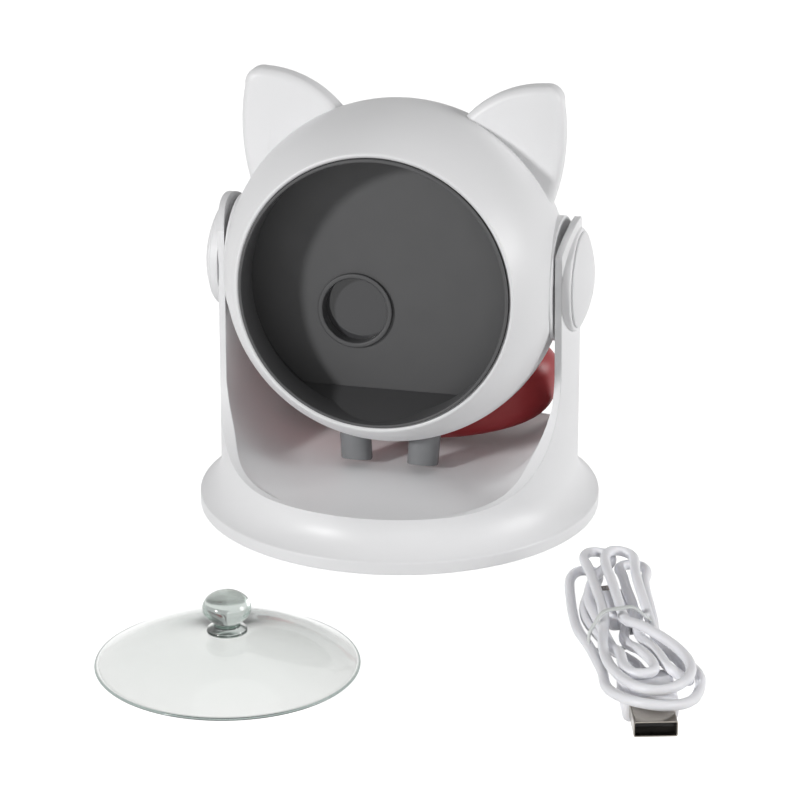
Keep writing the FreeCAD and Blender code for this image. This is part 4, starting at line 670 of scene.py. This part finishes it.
class TOY_OT_yoke(Operator):
    """Add the yoke: flange, deck and the two arms with their bosses"""
    bl_idname = "toy.yoke"
    bl_label = "Yoke"

    def execute(self, context):
        toy = context.scene.toy_sizes
        yoke = mesh_object("yoke", [lathe(self.section(toy, 256), FLOOR, 256)])
        self.keep_common(yoke, self.silhouette(toy))
        boss = mesh_object("bosses", self.bosses(toy))
        with context.temp_override(active_object=yoke, object=yoke, selected_objects=[yoke, boss],
                                   selected_editable_objects=[yoke, boss]):
            bpy.ops.object.join()
        cleaned(yoke, 30, outwards=False)
        finished(yoke, "base", "white_plastic", "yoke_base", "yoke_arm_right", "yoke_arm_left")
        return {"FINISHED"}

    def section(self, toy, count):
        """Section of a turned blank at each of count angles: the deck from the middle outwards, the
        wall, its flare and the flange, and back underneath. Towards the sides the deck rises to the wall
        with height = deck + b - sqrt(b^2 - past^2), b being the blend and past the way beyond its start.
        The start follows the round wall between the arms' edges and runs straight before and behind
        them."""
        wall = toy.yoke_radius - toy.yoke_wall
        top = toy.pivot_height + toy.arm_top + 2 * MM
        flare_top, under_flange, under_deck = 15.0 * MM, 2.9 * MM, 13.2 * MM
        flare, drop = toy.flange_radius - toy.yoke_radius, flare_top - toy.flange_rim
        bend = (flare ** 2 + drop ** 2) / (2 * flare)
        lowest = math.degrees(math.atan2(-drop, flare - bend)) % 360
        skirt, foot = toy.flange_radius - 2.6 * MM, 0.4 * MM
        outside = np.vstack([
            [(wall, top), (toy.yoke_radius, top)],
            arc((toy.yoke_radius + bend, flare_top), bend, 180, lowest, 18)[:-1],
            softened([(toy.flange_radius - 1.2 * MM, 5.0 * MM),
                      (toy.flange_radius, toy.flange_rim, 0.7 * MM),
                      (toy.flange_radius, foot, 0.3 * MM), (skirt, foot)])[1:],
            [(skirt, under_flange), (wall, under_flange), (wall, under_deck), (0, under_deck)],
        ])
        turn = whole_turn(count)
        reach = wall * np.linspace(0, 1, 50)[:, None]
        ahead, aside = np.abs(reach * np.sin(turn)), np.abs(reach * np.cos(turn))
        # both are shares of an arm's waist
        held, released = 1.1, 1.6
        fade = np.clip((ahead / toy.arm_waist - held) / released, 0, 1)
        followed = ahead * (1 - fade ** 2 * (3 - 2 * fade))
        start = np.sqrt(wall ** 2 - followed ** 2) - toy.deck_blend
        past = np.clip(aside - start, 0, toy.deck_blend)
        height = toy.deck_height + toy.deck_blend - np.sqrt(toy.deck_blend ** 2 - past ** 2)
        deck = np.stack([reach + 0 * turn, height], axis=-1)
        return np.concatenate([deck, np.repeat(outside[:, None], count, 1)])

    def silhouette(self, toy):
        """Side view of the yoke as a prism along X: deck, concave blends, arms and their round tops."""
        level = toy.deck_height + toy.arm_blend
        shoulder = math.sqrt(toy.arm_top ** 2 - toy.arm_half_width ** 2)
        tip = math.degrees(math.atan2(shoulder, toy.arm_half_width))
        reach, below, half_long = 90 * MM, -5 * MM, 80 * MM
        half = np.vstack([
            [(reach, below), (reach, toy.deck_height)],
            arc((toy.arm_waist + toy.arm_blend, level), toy.arm_blend, 270, 180, 40),
            [(toy.arm_half_width, toy.pivot_height)],
            arc((0, toy.pivot_height), toy.arm_top, tip, 90, 28),
        ])
        outline = np.vstack([half, half[-2::-1] * (-1, 1)])
        count = len(outline)
        ends = np.repeat((-half_long, half_long), count)
        points = np.column_stack([ends, np.tile(outline, (2, 1))])
        faces = [*grid_faces(2, count).tolist(), list(range(count)), list(range(count, 2 * count))]
        return cleaned(drawn("side_view", points, faces))

    def keep_common(self, thing, tool):
        """Keep what two solids share, as the thing's own mesh."""
        both = thing.modifiers.new("Common", "BOOLEAN")
        both.object, both.operation, both.solver = tool, "INTERSECT", "EXACT"
        graph = bpy.context.evaluated_depsgraph_get()
        mesh = bpy.data.meshes.new_from_object(thing.evaluated_get(graph))
        thing.modifiers.clear()
        thing.data = mesh
        bpy.data.objects.remove(tool)

    def bosses(self, toy):
        """Round bosses on both faces of each arm, as turned profiles that end inside the arm."""
        outer_root, inner_root, inner_face, inner_radius = 53.4 * MM, 53.6 * MM, 51.2 * MM, 9 * MM
        outer = softened([(0, outer_root), (toy.boss_radius, outer_root),
                          (toy.boss_radius, toy.boss_face, 0.6 * MM), (0, toy.boss_face)])
        inner = softened([(0, inner_face), (inner_radius, inner_face, 0.4 * MM),
                          (inner_radius, inner_root), (0, inner_root)])
        return [lathe(profile, side_seat(side), steps) for side in (-1, 1)
                for profile, steps in ((outer, 128), (inner, 96))]


class TOY_OT_caps(Operator):
    """Add the two domed caps over the pivots"""
    bl_idname = "toy.caps"
    bl_label = "Pivot caps"

    def execute(self, context):
        toy = context.scene.toy_sizes
        back, edge = toy.boss_face + 0.05 * MM, toy.boss_face + 0.6 * MM
        dome = (toy.cap_radius ** 2 + toy.cap_dome ** 2) / (2 * toy.cap_dome)
        slope = math.degrees(math.asin(toy.cap_radius / dome))
        # the dome ends 0.9 degrees before the cap's edge, where a small round takes over
        profile = np.vstack([
            arc((0, edge + toy.cap_dome - dome), dome, 90, 90 - slope + 0.9, 26),
            softened([(toy.cap_radius - 0.4 * MM, edge + 0.2 * MM), (toy.cap_radius, edge, 0.15 * MM),
                      (toy.cap_radius, back)])[1:],
            [(0, back)],
        ])
        for side, name in ((1, "right"), (-1, "left")):
            cap = mesh_object(f"cap_{name}", [lathe(profile, side_seat(side), 128)])
            finished(cap, "base", "white_plastic", f"pivot_cap_{name}")
        return {"FINISHED"}


class TOY_OT_head(Operator):
    """Add the round head: front shell with its opening and hubs, and the rear shell"""
    bl_idname = "toy.head"
    bl_label = "Head shells"

    def execute(self, context):
        toy = context.scene.toy_sizes
        ball, mouth, rim = toy.ball_radius, toy.opening_radius, toy.opening_round
        inner = ball - toy.shell_wall
        rim_across = mouth + rim
        rim_ahead = math.sqrt((ball - rim) ** 2 - rim_across ** 2)
        rim_angle = math.degrees(math.atan2(rim_ahead, rim_across))
        outer_back = -math.degrees(math.asin(toy.shell_split / ball))
        inner_back = -math.degrees(math.asin(toy.shell_split / inner))
        inner_front = math.degrees(math.acos(mouth / inner))
        profile = np.vstack([
            arc((0, 0), ball, outer_back, rim_angle, 60),
            arc((rim_across, rim_ahead), rim, rim_angle, 180, 12)[1:],
            arc((0, 0), inner, inner_front, inner_back, 40),
        ])
        points, faces = lathe(closed(profile), ball_seat(), 256)
        # the ball is flat under each hub, a hair below the hub's own face
        flat = toy.hub_face - 0.1 * MM
        points[:, 0] = np.clip(points[:, 0], -flat, flat)
        root = 47.6 * MM
        hub = softened([(0, root), (toy.hub_radius, root), (toy.hub_radius, toy.hub_face, 0.5 * MM),
                        (0, toy.hub_face)])
        hubs = [lathe(hub, side_seat(side), 128) for side in (-1, 1)]
        front = mesh_object("head_front", [(points, faces), *hubs])
        finished(front, "head", "white_plastic", "front_shell")
        smooth_copy("rear_shell", "head_rear", "head", "white_plastic")
        return {"FINISHED"}


class TOY_OT_ears(Operator):
    """Add the two flat pointed ears with rounded edges"""
    bl_idname = "toy.ears"
    bl_label = "Ears"

    def execute(self, context):
        toy = context.scene.toy_sizes
        # places on the outline, from the middle of the tip's round: (across, up)
        tip = np.array([toy.ear_tip_across, toy.ear_tip_height])
        slope = math.radians(10.0)
        root = tip - (24.7 * MM, 6.1 * MM)
        crest = tip + toy.ear_tip_radius * np.array([-math.sin(slope), math.cos(slope)])
        crown = tip + toy.ear_tip_radius * math.sqrt(0.5)
        side = tip + (toy.ear_tip_radius * 0.99, -0.6 * MM)
        foot = tip + (2.3 * MM, -31.9 * MM)
        # the hidden side is rounded too, well inside the ball
        under_foot, under_root = foot - (3.0 * MM, 5.2 * MM), root - (5.4 * MM, 7.2 * MM)
        hidden = softened([foot, (*under_foot, 3 * MM), (*under_root, 3 * MM), root])[1:-1]
        outline = np.vstack([
            arc_through(root, tip + (-15.4 * MM, 1.1 * MM), crest, 30),
            arc_through(crest, crown, side, 16)[1:],
            arc_through(side, tip + (5.7 * MM, -10.4 * MM), foot, 30)[1:],
            hidden,
        ])[::-1]
        rows = rounded_rows(toy.ear_round, 0, toy.ear_thickness, 9)
        middle = pivot_seat()
        where = seat(middle[0] + toy.ear_front * middle[2], middle[1], middle[3], middle[2])
        # the mirrored ear takes its outline from the other side
        for name, run in (("right", outline), ("left", (outline * (-1, 1))[::-1])):
            points, faces = stacked(run, rows, where, crown=0.5 * MM)
            ear = mesh_object(f"ear_{name}", [(outside_ball(points), faces)])
            finished(ear, "head", "white_plastic", f"{name}_ear")
        return {"FINISHED"}


class TOY_OT_collar(Operator):
    """Add the dark red oval collar and the two stub feet under the chin"""
    bl_idname = "toy.collar"
    bl_label = "Collar and stub feet"

    def execute(self, context):
        toy = context.scene.toy_sizes
        turn = whole_turn(200)
        outline = np.column_stack([toy.collar_half_width * np.cos(turn),
                                   toy.collar_back + toy.collar_half_depth * np.sin(turn)])
        low, tall = toy.collar_bottom, toy.collar_height
        points, faces = stacked(outline, rounded_rows(toy.collar_round, low, tall, 14), FLOOR)
        # the underside falls towards the front: dip x share of the way down x cube of the share forward
        dip, lean = 8.5 * MM, 0.055
        down = 1 - (points[:, 2] - low) / tall
        ahead = (toy.collar_back + toy.collar_half_depth - points[:, 1]) / (2 * toy.collar_half_depth)
        points[:, 2] -= dip * down * ahead ** 3
        # and its ends lean outwards: it is wider by the share called lean from half of its height up
        points[:, 0] *= 1 + lean * np.clip(2 - 2 * down, 0, 1)
        collar = mesh_object("red_collar", [(outside_ball(points), faces)])
        finished(collar, "head", "red_plastic", "collar")
        # painted shade: the stub feet take the grey finish in place of white plastic, so that they look
        # dark as in the shade under the chin
        feet = mesh_object("chin_stubs", [self.stub(toy, side) for side in (-1, 1)])
        finished(feet, "head", "inner_plastic", "stub_feet")
        return {"FINISHED"}

    def stub(self, toy, side):
        """Round foot whose end follows the circle that it swings on about the tilt axis."""
        aside, forward, end, root, swing = 10.4 * MM, 9.0 * MM, -60.0 * MM, -47 * MM, 60.4 * MM
        where = pivot_seat()
        foot = where.copy()
        foot[0] += where[1] * side * aside - where[2] * forward
        profile = softened([(0, end), (toy.stub_radius, end, 0.9 * MM), (toy.stub_radius, root),
                            (0, root)])
        points, faces = lathe(profile, foot, 64)
        offset = points - where[0]
        far = np.hypot(offset[:, 1], offset[:, 2])[:, None]
        offset[:, 1:] *= np.minimum(1, swing / far)
        return outside_ball(where[0] + offset), faces


class TOY_OT_cavity(Operator):
    """Add the dark liner, the turret disc and the port's ring"""
    bl_idname = "toy.cavity"
    bl_label = "Cavity and turret"

    def execute(self, context):
        toy = context.scene.toy_sizes
        middle = ball_seat()
        # the liner's narrow and wide radius, then its front edge, step and rear edge along the axis
        lip, inner, wall, thin = 40.2 * MM, 44.3 * MM, 1.1 * MM, 0.9 * MM
        front, step, rear = 31.3 * MM, 19.0 * MM, 8.0 * MM
        tube = softened([(lip, front, 0.3 * MM), (lip, step, 0.4 * MM), (inner, step, 0.8 * MM),
                         (inner, rear), (inner + wall, rear), (inner + wall, step + wall),
                         (lip + thin, step + wall), (lip + thin, front, 0.2 * MM)])
        liner = mesh_object("liner", [lathe(closed(tube), middle), self.ledge(lip, inner, step)])
        finished(liner, "head", "dark_plastic", "cavity_liner")
        smooth_copy("turret_disc", "turret", "turret", "dark_plastic")
        disc_face, high = 10.0 * MM, 1.2 * MM
        port = middle.copy()
        port[0] += middle[3] * disc_face - middle[1] * toy.port_across - middle[2] * toy.port_below
        ring = softened([(toy.port_outer, 0), (toy.port_outer, high, 0.4 * MM),
                         (toy.port_inner, high, 0.55 * MM), (toy.port_inner, 0)])
        piece = mesh_object("port_rim", [lathe(closed(ring), port, 96)])
        finished(piece, "turret", "dark_plastic", "port_ring")
        return {"FINISHED"}

    def ledge(self, lip, inner, step):
        """Sloping ledge at the bottom: at each station, the segment of the wall's circle below the
        height start - (station - first) tan slope."""
        start, first, slope, count = -35 * MM, 10 * MM, math.tan(math.radians(16.4)), 30
        rings = []
        for near, far, reach, stations in ((10.2 * MM, step, inner, 6), (step, 27.5 * MM, lip, 9)):
            # the ledge goes a little into the wall
            radius = reach + 0.05 * MM
            for station in np.linspace(near, far, stations):
                level = start - (station - first) * slope
                half = math.sqrt(radius ** 2 - level ** 2)
                across = np.linspace(-half, half, count)
                top = np.column_stack([across, np.full(count, level)])
                below = np.column_stack([across, -np.sqrt(radius ** 2 - across ** 2)])[::-1]
                rings.append(np.column_stack([np.vstack([top, below]), np.full(2 * count, station)]))
        ends = [np.repeat(ring.mean(0)[None], 2 * count, 0) for ring in (rings[0], rings[-1])]
        rings = np.array([ends[0], *rings, ends[1]])
        points = placed(ball_seat(), rings[..., 0], rings[..., 1], rings[..., 2])
        return points.reshape(-1, 3), grid_faces(len(rings), 2 * count)


class TOY_OT_suction_cup(Operator):
    """Add the clear suction cup with its ball knob"""
    bl_idname = "toy.suction_cup"
    bl_label = "Suction cup"

    def execute(self, context):
        toy = context.scene.toy_sizes
        radius, tall = toy.cup_radius, toy.cup_height
        knob, knob_half, knob_height, neck, collar = 6.9 * MM, 4.9 * MM, 17.4 * MM, 3.7 * MM, 5.6 * MM
        lowest = -math.degrees(math.acos(neck / knob))
        # inside of the dome, thin edge, outside of the dome, collar and neck, knob
        profile = np.vstack([
            arc_through((0, tall - 2.4 * MM), (radius * 0.6, tall * 0.46), (radius - 1.6 * MM, 0), 40),
            softened([(radius - 1.6 * MM, 0), (radius - 0.4 * MM, 0, 0.3 * MM),
                      (radius, 0.45 * MM, 0.3 * MM), (radius - 0.4 * MM, 0.9 * MM, 0.2 * MM),
                      (radius - 1.4 * MM, 1.3 * MM)])[1:-1],
            arc_through((radius - 0.9 * MM, 1.0 * MM), (radius * 0.62, tall * 0.66),
                        (collar, tall - 0.8 * MM), 40),
            softened([(6.2 * MM, tall - 0.9 * MM), (collar, tall - 0.8 * MM, 0.2 * MM),
                      (collar, tall, 0.4 * MM), (neck, tall + 0.8 * MM, 0.5 * MM),
                      (neck, tall + 2 * MM)])[1:-1],
            arc((0, 0), 1.0, lowest, 90, 30) * (knob, knob_half) + (0, knob_height),
        ])
        where = FLOOR.copy()
        where[0] = (toy.cup_across, -toy.cup_forward, 0)
        cup = mesh_object("clear_cup", [lathe(profile, where, 160)])
        finished(cup, "cup", "clear_vinyl", "suction_cup")
        return {"FINISHED"}


class TOY_OT_finishes(Operator):
    """Give every remaining node of the mechanism its material"""
    bl_idname = "toy.finishes"
    bl_label = "Finishes"

    def execute(self, context):
        slots = {row["node"]: row["material_slot"] for row in frame["record"]["subparts"]}
        for name, node in frame["nodes"].items():
            material = finish(slots[name])
            if not node.material_slots:
                node.data.materials.append(material)
            for place in node.material_slots:
                place.material = material
        return {"FINISHED"}


class TOY_PT_panel(Panel):
    """Sizes, colours and pieces of the cat laser toy"""
    bl_idname = "TOY_PT_panel"
    bl_label = "Cat Laser Toy"
    bl_space_type = "VIEW_3D"
    bl_region_type = "UI"
    bl_category = "Cat Toy"

    def draw(self, context):
        for step in STEPS:
            self.layout.operator(step.bl_idname)
        for group in (context.scene.toy_sizes, context.scene.toy_colours):
            column = self.layout.column(align=True)
            for name in group.__annotations__:
                column.prop(group, name)


STEPS = (TOY_OT_stage, TOY_OT_cable, TOY_OT_yoke, TOY_OT_caps, TOY_OT_head, TOY_OT_ears, TOY_OT_collar,
         TOY_OT_cavity, TOY_OT_suction_cup, TOY_OT_finishes)
CLASSES = (ToySizes, ToyColours, *STEPS, TOY_PT_panel)


def register():
    for each in CLASSES:
        bpy.utils.register_class(each)
    bpy.types.Scene.toy_sizes = PointerProperty(type=ToySizes)
    bpy.types.Scene.toy_colours = PointerProperty(type=ToyColours)


def unregister():
    del bpy.types.Scene.toy_sizes
    del bpy.types.Scene.toy_colours
    for each in reversed(CLASSES):
        bpy.utils.unregister_class(each)


def main():
    register()
    for step in STEPS:
        group, name = step.bl_idname.split(".")
        getattr(getattr(bpy.ops, group), name)()


if __name__ == "__main__":
    main()
